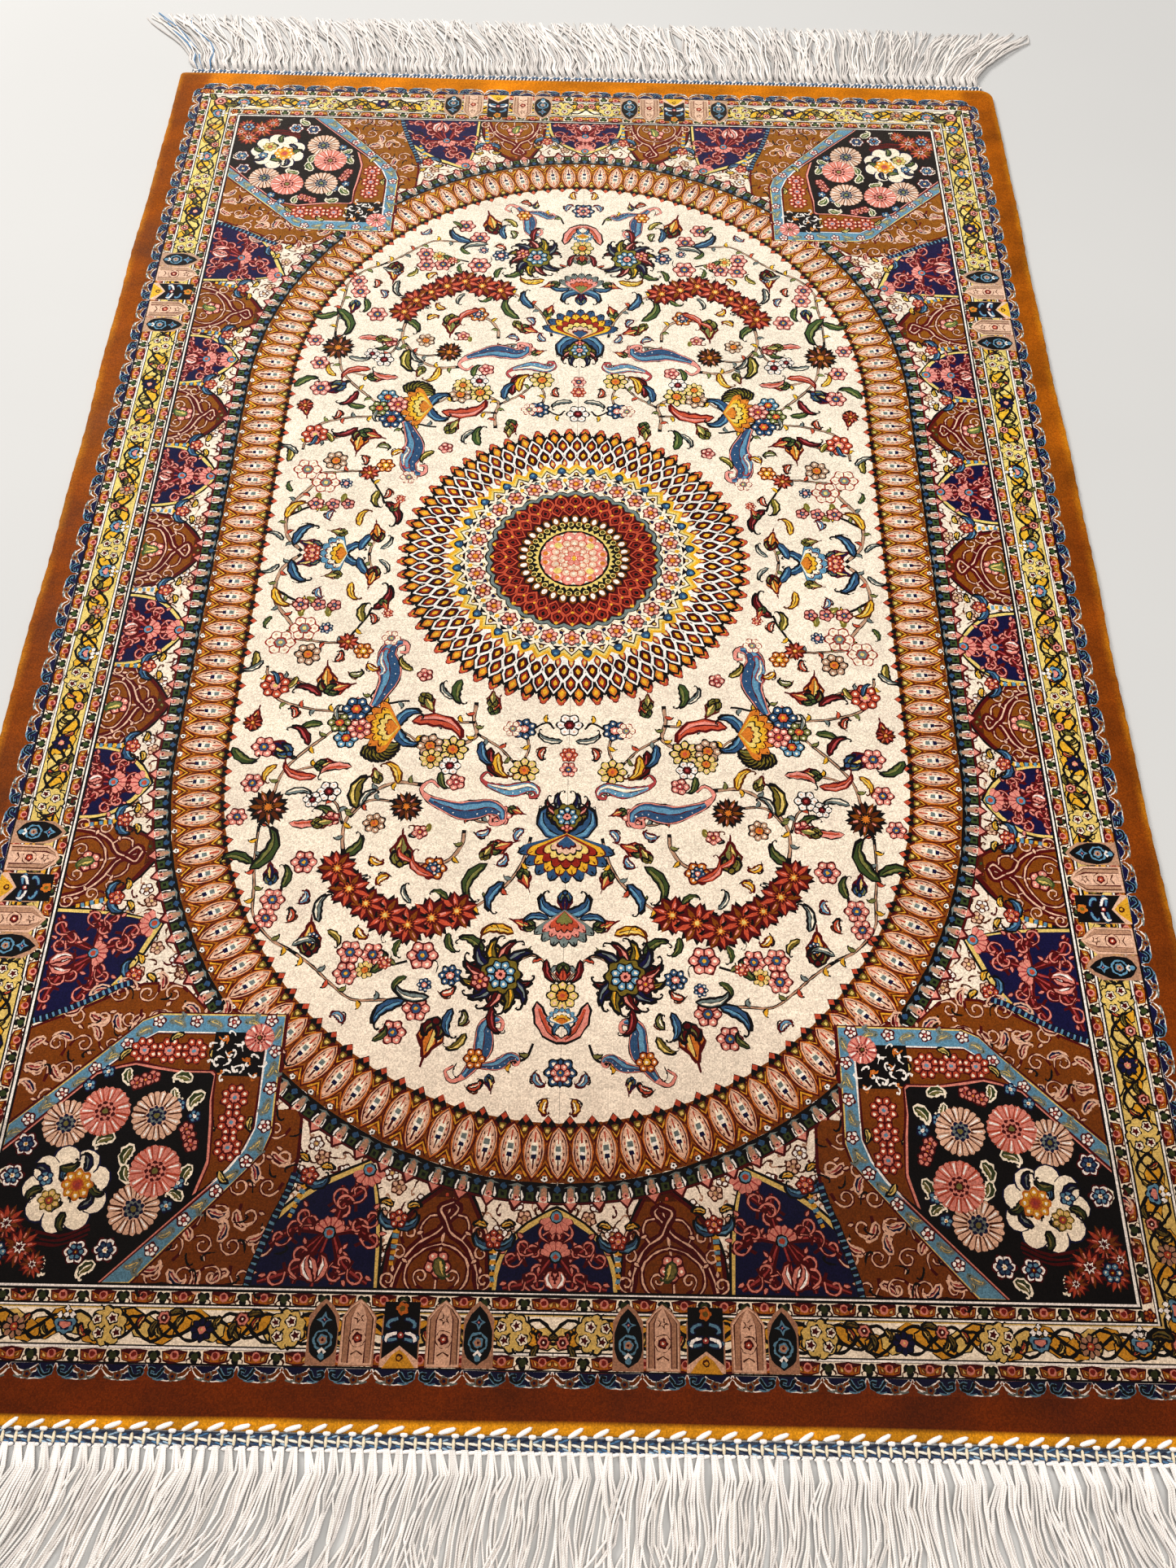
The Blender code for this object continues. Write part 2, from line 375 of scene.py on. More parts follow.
MOTIFS = {
    "rose": bloom(11, 6, "pink", "blue"),
    "cream_rose": bloom(14, 6, "cream", "steel", "red", "straw"),
    "small_rose": bloom(8, 5, "pink", "rose", "wine", "cream"),
    "yellow_rose": bloom(13, 8, "straw", "orange", "ink", "coral"),
    "brown_rose": bloom(12.5, 7, "taupe", "orange", "ink", "coral"),
    "blue_rose": bloom(11, 7, "blue", "pink", "ink", "cream"),
    "coral_rose": bloom(12, 7, "coral", "pink", "wine", "straw"),
    "white_rose": bloom(11, 6, "white", "wine", "ink", "rose"),
    "orange_rose": bloom(9, 6, "orange", "yellow", "wine", "cream"),
    "ruffle": ruffled(16),
    "spiky": ruffled(15, "brown", "ink", "orange", 11),
    "tulip": tulip(22),
    "blue_tulip": tulip(24, "navy", "pink", "blue"),
    "orange_tulip": tulip(24, "orange", "cream", "wine"),
    "green_tulip": tulip(22, "leaf", "cream", "olive"),
    "leaf": leaf(28, 7.5),
    "long_leaf": leaf(40, 8, 50, "green", "leaf"),
    "yellow_leaf": leaf(26, 6, 40, "yellow", "straw", "brown"),
    "olive_leaf": leaf(26, 7, -35, "olive", "straw", "ink"),
    "blue_leaf": leaf(28, 6.5, 30, "blue", "sky"),
    "steel_leaf": leaf(24, 4.6, -30, "steel", "cream"),
    "coral_leaf": leaf(40, 8, -45, "coral", "pink", "wine"),
    "wine_leaf": leaf(28, 6, 35, "wine", "rose", "ink"),
    "pink_leaf": leaf(44, 10, 24, "pink", "coral", "ink"),
    "curl": curl(42, 1.7),
    "boteh": boteh(92),
    "small_boteh": boteh(72),
    "scroll": boteh(74, "sky", "cream", "rose"),
    "grand": grand(),
    "feathered": feathered(),
    "sprig": sprig(),
    "axis_palmette": palmette(36, ("blue", "yellow", "red", "straw", "shell", "blue"), 78, 9),
    "side_palmette": palmette(26, ("sky", "cream", "yellow", "orange"), 82, 7),
    "wing_palmette": palmette(30, ("steel", "pink", "coral", "leaf"), 60, 7),
}

# Field motifs in one quarter: name, across, along, turn in degrees, size
FIELD = (
    ("side_palmette", 262, 0, 0, 1.0),
    ("blue_tulip", 292, 8, 20, 0.9),
    ("blue_leaf", 246, 6, 100, 1.0),
    ("blue_leaf", 322, 12, 95, 1.15),
    ("coral_rose", 300, 4, 0, 0.7),
    ("orange_tulip", 226, 20, 80, 0.9),
    ("steel_leaf", 222, 8, 150, 0.8),
    ("wine_leaf", 222, 78, 215, 1.2),
    ("tulip", 214, 66, 120, 0.6),
    ("coral_rose", 206, 84, 0, 0.45),
    ("sprig", 284, 74, 3, 1.05),
    ("yellow_leaf", 250, 42, 75, 0.9),
    ("green_tulip", 264, 30, 10, 0.7),
    ("curl", 318, 42, 160, 0.8),
    ("yellow_leaf", 336, 52, 95, 1.1),
    ("leaf", 334, 92, 40, 0.55),
    ("steel_leaf", 336, 18, 60, 0.8),
    ("boteh", 200, 170, 185, 1.0),
    ("scroll", 207, 150, 20, 0.42),
    ("orange_rose", 228, 136, 0, 1.0),
    ("cream_rose", 199, 118, 0, 0.62),
    ("cream_rose", 296, 107, 0, 1.0),
    ("cream_rose", 320, 127, 0, 1.0),
    ("blue_rose", 272, 106, 0, 0.6),
    ("brown_rose", 288, 142, 0, 1.0),
    ("ruffle", 246, 124, 0, 0.58),
    ("olive_leaf", 345, 140, 110, 0.9),
    ("olive_leaf", 296, 172, 80, 0.7),
    ("orange_tulip", 262, 190, 275, 1.15),
    ("tulip", 262, 190, 200, 1.0),
    ("wine_leaf", 268, 196, 310, 1.0),
    ("coral_rose", 318, 184, 0, 1.15),
    ("blue_leaf", 316, 182, 270, 0.6),
    ("steel_leaf", 336, 152, 60, 0.9),
    ("olive_leaf", 232, 96, 300, 0.9),
    ("leaf", 118, 172, 60, 1.0),
    ("steel_leaf", 126, 196, 330, 0.9),
    ("green_tulip", 158, 192, 120, 0.95),
    ("small_rose", 158, 166, 0, 0.9),
    ("olive_leaf", 172, 160, 340, 0.8),
    ("tulip", 83, 214, 250, 0.8),
    ("green_tulip", 83, 205, 270, 0.75),
    ("blue_rose", 48, 233, 0, 1.0),
    ("cream_rose", 60, 233, 0, 0.6),
    ("coral_leaf", 166, 226, 196, 1.35),
    ("steel_leaf", 8, 247, 8, 1.0),
    ("yellow_rose", 46, 284, 0, 1.0),
    ("wine_leaf", 82, 258, 80, 1.2),
    ("blue_leaf", 92, 250, 85, 1.0),
    ("yellow_leaf", 74, 264, 78, 1.1),
    ("yellow_rose", 122, 260, 0, 1.05),
    ("brown_rose", 146, 256, 0, 1.0),
    ("white_rose", 124, 280, 0, 0.9),
    ("leaf", 132, 288, 80, 0.7),
    ("yellow_rose", 144, 272, 0, 0.8),
    ("grand", 200, 234, 0, 1.0),
    ("steel_leaf", 246, 226, 300, 0.7),
    ("leaf", 262, 232, 350, 0.8),
    ("wine_leaf", 274, 258, 280, 1.0),
    ("blue_tulip", 292, 270, 330, 1.1),
    ("rose", 320, 262, 0, 1.0),
    ("tulip", 336, 240, 260, 0.95),
    ("leaf", 352, 264, 120, 1.0),
    ("ruffle", 336, 232, 0, 0.5),
    ("tulip", 262, 284, 188, 0.9),
    ("coral_leaf", 262, 296, 12, 0.9),
    ("pink_leaf", 226, 284, 350, 0.7),
    ("olive_leaf", 216, 332, 290, 1.35),
    ("steel_leaf", 212, 330, 262, 0.9),
    ("yellow_leaf", 176, 302, 268, 1.0),
    ("green_tulip", 196, 302, 290, 0.7),
    ("small_rose", 116, 300, 0, 1.0),
    ("orange_rose", 106, 334, 0, 0.9),
    ("rose", 68, 338, 0, 0.9),
    ("tulip", 60, 330, 160, 0.6),
    ("scroll", 60, 306, 100, 0.75),
    ("boteh", 108, 330, 95, 0.9),
    ("spiky", 165, 330, 0, 0.95),
    ("brown_rose", 196, 350, 0, 0.8),
    ("white_rose", 246, 314, 0, 0.95),
    ("white_rose", 262, 324, 0, 0.75),
    ("leaf", 236, 350, 290, 0.9),
    ("small_rose", 240, 346, 0, 0.9),
    ("spiky", 306, 334, 0, 1.15),
    ("steel_leaf", 290, 318, 210, 1.0),
    ("rose", 326, 306, 0, 0.9),
    ("yellow_leaf", 304, 284, 30, 0.8),
    ("pink_leaf", 282, 352, 170, 0.7),
    ("green_tulip", 258, 352, 190, 0.8),
    ("rose", 336, 346, 0, 0.8),
    ("tulip", 78, 378, 200, 0.95),
    ("green_tulip", 84, 388, 240, 0.7),
    ("long_leaf", 80, 394, 30, 1.0),
    ("tulip", 44, 400, 110, 0.8),
    ("blue_leaf", 62, 414, 40, 1.1),
    ("orange_rose", 132, 400, 0, 1.2),
    ("blue_rose", 132, 400, 0, 0.6),
    ("coral_leaf", 132, 408, 350, 0.8),
    ("green_tulip", 166, 396, 270, 1.25),
    ("coral_leaf", 154, 392, 350, 0.5),
    ("leaf", 226, 388, 200, 1.0),
    ("curl", 206, 430, 262, 0.9),
    ("steel_leaf", 208, 424, 262, 0.7),
    ("rose", 262, 396, 0, 1.0),
    ("leaf", 280, 424, 240, 0.8),
    ("blue_tulip", 292, 420, 278, 0.8),
    ("rose", 288, 438, 0, 0.95),
    ("rose", 292, 458, 0, 0.85),
    ("long_leaf", 314, 404, 215, 1.2),
    ("leaf", 314, 398, 320, 1.0),
    ("steel_leaf", 240, 460, 290, 1.1),
    ("orange_tulip", 246, 494, 272, 1.15),
    ("blue_rose", 244, 478, 0, 0.5),
    ("olive_leaf", 230, 470, 160, 0.7),
    ("ruffle", 106, 446, 0, 1.0),
    ("ruffle", 130, 454, 0, 1.05),
    ("ruffle", 153, 462, 0, 1.0),
    ("ruffle", 176, 452, 0, 1.05),
    ("ruffle", 196, 440, 0, 0.9),
    ("ruffle", 214, 424, 0, 1.0),
    ("ruffle", 228, 402, 0, 0.95),
    ("leaf", 116, 434, 300, 0.6),
    ("leaf", 112, 470, 80, 0.7),
    ("steel_leaf", 152, 438, 320, 0.8),
    ("leaf", 158, 478, 50, 0.6),
    ("curl", 176, 470, 70, 0.6),
    ("yellow_leaf", 50, 468, 330, 1.1),
    ("leaf", 78, 488, 300, 0.9),
    ("curl", 62, 470, 280, 0.7),
    ("tulip", 30, 462, 340, 0.8),
    ("blue_leaf", 16, 452, 340, 0.8),
    ("feathered", 60, 512, 20, 1.0),
    ("blue_rose", 108, 514, 0, 0.85),
    ("rose", 136, 494, 0, 1.15),
    ("curl", 122, 512, 250, 0.7),
    ("rose", 184, 494, 0, 0.95),
    ("rose", 206, 492, 0, 0.95),
    ("rose", 208, 514, 0, 0.95),
    ("yellow_rose", 190, 510, 0, 0.6),
    ("leaf", 184, 512, 210, 0.8),
    ("coral_rose", 172, 502, 0, 0.5),
    ("steel_leaf", 262, 486, 220, 0.9),
    ("wine_leaf", 16, 496, 80, 0.8),
    ("pink_leaf", 24, 540, 100, 1.0),
    ("boteh", 76, 588, 172, 0.72),
    ("small_boteh", 60, 600, 120, 0.5),
    ("orange_rose", 80, 596, 0, 0.95),
    ("blue_tulip", 66, 612, 100, 0.5),
    ("rose", 138, 548, 0, 1.0),
    ("rose", 158, 572, 0, 0.95),
    ("orange_tulip", 118, 560, 75, 1.3),
    ("blue_leaf", 104, 548, 60, 0.9),
    ("blue_leaf", 150, 540, 12, 1.2),
    ("steel_leaf", 128, 536, 10, 1.3),
    ("leaf", 176, 580, 200, 0.6),
    ("olive_leaf", 90, 572, 70, 0.8),
    ("curl", 96, 600, 60, 0.7),
    ("wine_leaf", 66, 545, 75, 0.9),
    ("blue_rose", 132, 524, 0, 0.55),
    ("leaf", 150, 516, 20, 0.6),
)

# How much larger than drawn some field motifs are set
GROWN = {"feathered": 1.3, "grand": 1.22, "boteh": 1.0, "scroll": 1.0, "ruffle": 1.22, "spiky": 1.1}

# Field motifs on the long axis: name, along, turn in degrees, size
AXIS = (
    ("white_rose", 227, 0, 1.2),
    ("coral_rose", 264, 0, 0.75),
    ("rose", 282, 0, 0.8),
    ("feathered", 338, 90, 1.0),
    ("axis_palmette", 362, 90, 1.4),
    ("blue_tulip", 424, 90, 0.9),
    ("wing_palmette", 446, 90, 1.2),
    ("tulip", 500, 90, 0.9),
    ("yellow_rose", 532, 0, 1.1),
    ("side_palmette", 560, 270, 0.6),
    ("blue_rose", 608, 0, 1.3),
    ("rose", 608, 0, 0.8),
)

# Stems in one quarter: width, then points across and along
STEMS = (
    (3.6, (312, 2), (330, 22), (336, 48), (332, 72), (318, 92), (304, 112)),
    (2.6, (235, 0), (232, 14), (228, 24)),
    (2.0, (332, 55), (316, 66), (300, 72)),
    (2.4, (330, 158), (326, 172), (300, 176), (274, 186)),
    (2.2, (240, 124), (262, 126), (286, 124), (306, 122)),
    (2.0, (224, 76), (230, 92), (244, 116)),
    (2.0, (207, 184), (214, 196), (200, 204), (172, 200)),
    (3.4, (100, 200), (102, 222), (98, 242), (112, 254)),
    (2.4, (100, 226), (134, 226), (166, 228)),
    (2.2, (98, 240), (74, 256), (56, 276)),
    (2.2, (42, 296), (36, 306), (32, 318)),
    (2.4, (45, 240), (42, 256), (46, 270)),
    (2.4, (150, 262), (166, 246), (180, 238)),
    (2.6, (248, 238), (262, 252), (284, 274), (298, 296), (304, 326), (312, 356)),
    (2.4, (240, 216), (272, 214), (304, 206), (320, 196)),
    (2.0, (284, 274), (296, 272), (306, 264)),
    (2.4, (250, 284), (272, 286), (292, 296)),
    (3.2, (150, 304), (178, 302), (206, 318), (226, 350), (224, 388)),
    (2.2, (178, 324), (204, 324), (222, 344)),
    (2.2, (70, 342), (88, 346), (104, 338)),
    (3.2, (104, 356), (106, 374), (120, 392), (146, 396), (166, 390)),
    (2.6, (36, 362), (44, 392), (62, 420), (94, 446)),
    (2.4, (312, 356), (312, 392), (308, 424), (304, 456), (284, 480), (262, 492)),
    (2.4, (262, 492), (240, 508), (222, 524), (200, 540), (172, 540), (128, 540)),
    (2.0, (150, 500), (164, 504), (176, 500)),
    (2.2, (228, 352), (236, 330), (246, 320)),
    (2.2, (0, 524), (26, 492), (50, 502)),
    (2.0, (280, 418), (282, 432), (288, 440)),
    (2.0, (26, 580), (34, 596), (56, 600)),
    (1.8, (16, 232), (24, 224), (38, 232)),
)
STEM_CORE = "taupe"


def vine(width, *knots):
    """A stem: a dark line, with a light core where it is thick enough."""
    line = smooth([complex(*knot) for knot in knots])
    draw(ribbon(line, width), "ink")
    if width > 2.9:
        draw(ribbon(line[1:-1], width - 1.9), STEM_CORE)
    length = walked(line)
    for k, along in enumerate(np.arange(11, length[-1] - 8, 17)):
        spot = int(np.searchsorted(length, along))
        side = 1 if k % 2 else -1
        way = np.degrees(np.angle(line[spot] - line[spot - 1])) + 38 * side
        blade = spine(11, 60 * side, 50 * side, steps=5)
        tone = ("leaf", "yellow", "steel", "coral")[(k + int(width * 10)) % 4]
        layers = [
            (ribbon(blade, (1.2, 4.6, 6.0, 4.8, 2.4, 1.0)), "ink"),
            (ribbon(blade[:-1], (0.4, 2.4, 3.6, 2.4, 0.8)), tone),
        ]
        stamp(layers, line[spot], way)


# Where the quarter's main outlines lie, in pattern millimetres
FIELD_X, FIELD_Y = 498.0, 802.0
BORDER = 75.0
CHAIN_X, CHAIN_BEND, CHAIN_RISE = 383.0, 267.0, 415.0
CHAIN_PITCH = 21.7


def on_long(along, out):
    """A place by its way along the long side and its distance out of the field."""
    return complex(FIELD_X + out, along)


def on_short(along, out):
    """The same for the short side."""
    return complex(along, FIELD_Y + out)


def place(side, motif, along, out, size=1.0, turn=0, flip=False):
    """A border motif whose +x runs along the border and +y points outward."""
    layers = moved(motif, 0, turn, size, flip)
    if side == "short":
        stamp(layers, on_short(along, out))
    else:
        stamp(layers, on_long(along, out), 90, 1.0, True)


def frame_line(inner, outer, tone):
    """An L along both sides of the quarter, between two distances from the field."""
    low = np.array([1j * (FIELD_Y + inner), FIELD_X + inner + 1j * (FIELD_Y + inner), FIELD_X + inner])
    high = np.array([FIELD_X + outer, FIELD_X + outer + 1j * (FIELD_Y + outer), 1j * (FIELD_Y + outer)])
    draw(np.concatenate([low, high]), tone)


def line_pair(inner, outer):
    """A white line between dark ones, round the field."""
    frame_line(inner, outer, "ink")
    middle = (inner + outer) / 2
    frame_line(middle - 0.9, middle + 0.9, "white")


def box(width, height):
    """A rectangle round the origin."""
    return np.array(
        [-width - 1j * height, width - 1j * height, width + 1j * height, -width + 1j * height]
    ) / 2


def tendril(length, width, turn, wind, tone, edge):
    """A two-toned curl."""
    line = spine(length, turn, wind, 0.75, steps=16)
    t = np.linspace(0, 1, len(line))
    shape = width * (0.5 + 0.5 * np.sin(np.pi * t) ** 0.5)
    return [(ribbon(line, shape + 1.5), edge), (ribbon(line[1:-1], shape[1:-1] * 0.85), tone)]


def spiral(radius, width, tone, edge, turns=1.15):
    """A scroll round the origin: it comes in from -x and winds up to its middle."""
    t = np.linspace(0, 1, 19)
    wound = radius * (1 - 0.74 * t) * np.exp(1j * (-np.pi / 2 + TAU * turns * t))
    line = np.concatenate([[radius * (-1.5 - 0.5j), radius * (-0.7 - 0.95j)], wound])
    t = np.linspace(0, 1, len(line))
    shape = width * (0.6 + 0.4 * np.sin(np.pi * t))
    return [
        (ribbon(line, shape + 1.8), edge), (ribbon(line[1:-1], shape[1:-1]), tone),
        *moved([
            (ribbon(np.array([0, 3, 6.5 + 0j]), (3.6, 5.2, 1.6)), edge),
            (ribbon(np.array([0.4, 3, 5.6 + 0j]), (1.6, 3.0, 0.6)), tone),
        ], radius * 0.95j, 60),
    ]


# Guard stripes

GUARD_FLOWER = [
    (
        np.array([-9.8 - 4.2j, 0 - 5.4j, 9.8 - 4.2j, 8.4 + 3.2j, 2.8 + 4.6j, -2.8 + 4.6j, -8.4 + 3.2j]),
        "wine",
    ),
    (
        np.array(
            [
                -8.6 - 3.0j, -3 - 1.0j, 3 - 1.0j, 8.6 - 3.0j, 7.4 + 2.2j, 2.6 + 3.4j, -2.6 + 3.4j,
                -7.4 + 2.2j,
            ]
        ),
        "gold",
    ),
    (np.array([-7.6 - 2.2j, -3.4 - 0.2j, -3.2 + 2.6j, -6.6 + 1.6j]), "rust"),
    (np.array([7.6 - 2.2j, 6.6 + 1.6j, 3.2 + 2.6j, 3.4 - 0.2j]), "red"),
    (np.array([-6.4 - 1.4j, -4.4 + 0.2j, -4.4 + 1.6j, -5.9 + 1.0j]), "straw"),
    (np.array([6.4 - 1.4j, 5.9 + 1.0j, 4.4 + 1.6j, 4.4 + 0.2j]), "straw"),
    (disc(3.3, 8) - 1.0j, "pink"),
    (disc(2.1, 8) - 1.2j, "red"),
]
GUARD_TREFOIL = [
    *moved(curl(16, 1.4, 40, 200, "brown"), 0, 8), *moved(curl(16, 1.4, -40, -200, "brown"), 0, 172),
    *trefoil(4.4),
]


def guard(inner, outer):
    """A narrow stripe of flowers and trefoils between two distances from the field."""
    frame_line(inner, outer, "cream")
    middle = (inner + outer) / 2
    for side, reach in (("short", FIELD_X + inner), ("long", FIELD_Y + inner)):
        for k in range(int((reach - 4) // 34) + 1):
            place(side, GUARD_FLOWER, 8.5 + 34 * k, middle + 0.4, 1.12)
            if 25.5 + 34 * k < reach + 2:
                place(side, GUARD_TREFOIL, 25.5 + 34 * k, middle)
    stamp(moved(bloom(4.6, 5, "orange", "red", "wine")), complex(FIELD_X + middle, FIELD_Y + middle))


# Main border

def maroon_cluster():
    """Four small flowers on a dark patch with tendrils."""
    layers = [(lobed(15, 9, 0.16, 4) * 1.15, "ink"), (lobed(15, 9, 0.16, 4) * 1.05, "straw")]
    for at, radius in ((-8 + 5j, 4.6), (7 + 6j, 4.4), (-3 - 6j, 4.6), (10 - 5j, 4.0)):
        layers += moved([
            (lobed(radius + 1.2, 5, 0.3), "ink"),
            (lobed(radius, 5, 0.3), "cream"),
            (star(radius * 0.85, 5, 0.5), "wine"),
        ], at)
    for at, turn in (
        (-15, 200), (0 + 12j, 100), (2 + 0j, 30), (15 + 2j, 10), (-12 - 8j, 240), (5 - 12j, 280),
    ):
        layers.append((ribbon(at + spine(6, 60, steps=4) * np.exp(1j * np.radians(turn)), 1.6), "ink"))
    return layers


def border_flower(petal, heart, fringe="white"):
    """A half-open flower, opening along +x, with a white curled crown."""
    layers = [
        (fan(10.5, 5, 118), "ink"),
        (fan(9.2, 5, 114), petal),
        (fan(6.6, 4, 100), "navy"),
        (fan(5.0, 3, 96), heart),
    ]
    for k in (-1, 0, 1):
        crown = moved([(lobed(3.4, 4, 0.35), "ink"), (lobed(2.5, 4, 0.35), fringe)], -6 + 5.2j * k)
        layers += crown
    layers += moved([(lobed(3.0, 4, 0.35), "ink"), (lobed(2.2, 4, 0.35), fringe)], -11)
    return layers


def border_rosette(petal, heart):
    """A petalled round flower for the main border."""
    layers = [(lobed(10.6, 8, 0.3), "ink"), (lobed(9.4, 8, 0.34), petal)]
    for k in range(8):
        ray = np.exp(1j * TAU * (k + 0.5) / 8)
        layers.append((ribbon(np.array([3.0, 8.0]) * ray, 1.1), "ink"))
    layers += [(disc(4.2, 8), "ink"), (lobed(3.3, 6, 0.2), heart), (disc(1.2, 6), "straw")]
    return layers


def brown_ring():
    """A small ringed flower between two leaves."""
    return [
        (lobed(6.4, 6, 0.2), "brown"), (lobed(5.0, 6, 0.2), "pink"), (disc(3.0, 8), "wine"),
        (disc(1.2, 5), "cream"),
        *moved(leaf(12, 3.4, 50, "olive", "leaf", "ink"), 5 + 3j, 40),
        *moved(leaf(12, 3.4, -50, "olive", "leaf", "ink"), -5 - 3j, 220),
    ]


BORDER_PIECES = {
    "maroon": maroon_cluster(),
    "blue": border_flower("sky", "pink"),
    "pink": border_rosette("taupe", "coral"),
    "navy": border_rosette("navy", "pink"),
    "brown": brown_ring(),
}

# Main border pieces: kind, along; the vine between them swings to alternate sides
LONG_BORDER = (
    ("maroon", 0), ("blue", 33), ("brown", 64), ("pink", 90), ("brown", 112), ("blue", 147),
    ("maroon", 180), ("brown", 216), ("navy", 262), ("brown", 292), ("maroon", 332), ("maroon", 524),
    ("brown", 556), ("navy", 590), ("brown", 622), ("maroon", 655), ("blue", 708), ("brown", 734),
    ("pink", 760), ("blue", 806),
)
SHORT_BORDER = (
    ("brown", 8), ("maroon", 34), ("maroon", 224), ("brown", 262), ("navy", 295), ("brown", 328),
    ("maroon", 374), ("blue", 410), ("pink", 452), ("blue", 496),
)
# Plaques: kind, half width, along on the long side, along on the short side
PLAQUES = (
    ("dark", 13.0, 368, 63), ("shell", 14.5, 397, 92), ("cross", 16.0, 430, 128),
    ("shell", 14.5, 464, 164), ("dark", 13.0, 492, 193),
)


def plaque(kind, half):
    """A panel across the border, pointed towards the field; +y points outward."""
    tip, foot = -28.0, 25.0
    point = np.array([-half + 1j * foot, -half - 14j, -half * 0.5 - 23j, 1j * tip])
    outline = np.append(point, mirrored(point)[:-1][::-1])
    layers = [(outline, "taupe")]
    if kind == "dark":
        shape = smooth(
            [0.9 * 1j * foot, -0.8 * half + 14j, -0.9 * half - 4j, -0.5 * half - 17j, 24j * -1], 3,
        )
        whole = np.concatenate([shape, mirrored(shape)[1:-1][::-1]])
        ring = lobed(8.6, 7, 0.12)
        layers += [
            (whole, "ink"),
            (ring + 5j, "sky"), (ring * 0.8 + 5j, "ink"), (lobed(4.6, 5, 0.2) + 5j, "sky"),
            (lobed(3.2, 5, 0.2) + 5j, "taupe"), (disc(1.4, 6) + 5j, "wine"),
            (ribbon(np.array([-3 + 15j, 0 + 12j, 3 + 15j]), 2.4), "white"), (disc(2.8, 8) + 17.5j, "sky"),
            (star(6.4, 4, 0.45) - 11j, "sky"), (star(3.4, 4, 0.5) - 11j, "navy"),
            (disc(1.0, 5) - 11j, "pink"),
        ]
    elif kind == "shell":
        for share, tone in (
            (0.94, "shell"), (0.84, "brown"), (0.78, "taupe"), (0.5, "wine"), (0.44, "shell"),
        ):
            layers.append(
                (outline.real * share + 1j * (outline.imag * (0.98 if share > 0.9 else 0.9)), tone)
            )
        layers += [
            (lobed(8.0, 6, 0.1) * 0.95 + 3j, "brown"), (lobed(6.8, 6, 0.1) + 3j, "shell"),
            (lobed(4.6, 5, 0.2) + 3j, "wine"), (lobed(2.6, 5, 0.2) + 3j, "coral"),
            (disc(1.1, 6) + 3j, "cream"),
            (star(5.2, 5, 0.4) - 13j, "brown"), (star(3.2, 5, 0.4) - 13j, "shell"),
            (ribbon(np.array([-5 + 16j, 0 + 13j, 5 + 16j]), 1.3), "brown"),
        ]
    else:
        layers.append((box(2 * half - 2, 50) - 1.5j, "ink"))
        for flip in (1, -1):
            for row, wind in ((-13, 260), (3, -260), (-2, 200)):
                hook = tendril(24, 3.2, 20, wind, "sky" if row != -2 else "white", "navy")
                layers += [
                    (mirrored(points, flip), tone)
                    for points, tone in moved(hook, 2 + 1j * row, 10)
                ]
        arch_line = np.array([-half + 26j, -half + 20j, -5 + 12j, 8j, 5 + 12j, half + 20j, half + 26j])
        layers += [
            (arch_line, "shell"),
            (np.array([-half + 2 + 26j, -6 + 16j, 11j, 6 + 16j, half - 2 + 26j]), "yellow"),
            (disc(3.2, 8) + 18j, "brown"), (disc(1.8, 6) + 18j, "yellow"),
            (disc(3.4, 8), "ink"), (disc(2.5, 8), "rose"), (disc(1.0, 5), "cream"),
            (lobed(5.5, 5, 0.3) - 21j, "orange"), (disc(2.4, 6) - 21j, "olive"),
        ]
    return layers


def yellow_ground(side, reach):
    """Yellow cloud patches with dark vines over the border's light ground."""
    for k in range(int(reach // 14)):
        along = 7 + 14 * k
        drift = 5.5 * np.sin(along * 0.33)
        patch = lobed(11.5, 7, 0.22, 3)
        patch = patch.real + 0.78j * patch.imag
        place(side, [(patch * 1.13, "ink"), (patch, "yellow" if k % 4 else "straw")], along, 32 + drift)
    line = np.arange(0, reach, 3.0)
    for phase, swing in ((0.0, 11.5), (1.6, 8.0), (3.2, 11.0)):
        swung = line + 1j * swing * np.sin(line * TAU / 64 + phase)
        place(side, [(ribbon(swung, 2.8), "ink")], 0, 32)
    for k in range(int(reach // 16)):
        along = 8 + 16 * k
        tilt = 35 if k % 2 else -35
        place(
            side, leaf(10, 3.6, tilt, "olive" if k % 3 else "coral", "straw", "ink"), along,
            32 + 8 * (-1) ** k, 1.0, tilt,
        )


def main_border():
    """The yellow border with its row of flowers."""
    line_pair(13.6, 17.4)
    frame_line(17.4, 46.6, "straw")
    line_pair(46.6, 50.2)
    draw(np.array([18j, FIELD_X + 17.4 + 18j, FIELD_X + 46.6 + 46.6j, 46.6j]) + 1j * FIELD_Y, "cream")
    for side, reach, pieces in (
        ("short", FIELD_X + 36, SHORT_BORDER), ("long", FIELD_Y + 36, LONG_BORDER),
    ):
        yellow_ground(side, reach)
        for k, (kind, along) in enumerate(pieces):
            out = 32 + {"maroon": 0, "brown": 7 * (-1) ** k}.get(kind, 2 * (-1) ** k)
            place(
                side, BORDER_PIECES[kind], along, out, 1.0,
                90 if kind == "blue" and k % 2 else -90 * (kind == "blue"),
            )
    place("short", brown_ring(), FIELD_X + 32, 32, 1.6)


def plaques():
    """The panels across the main border, by the middle of each side."""
    for kind, half, on_long_side, on_short_side in PLAQUES:
        panel = plaque(kind, half)
        place("long", panel, on_long_side, 35)
        place("short", panel, on_short_side, 35)


# Scalloped edging

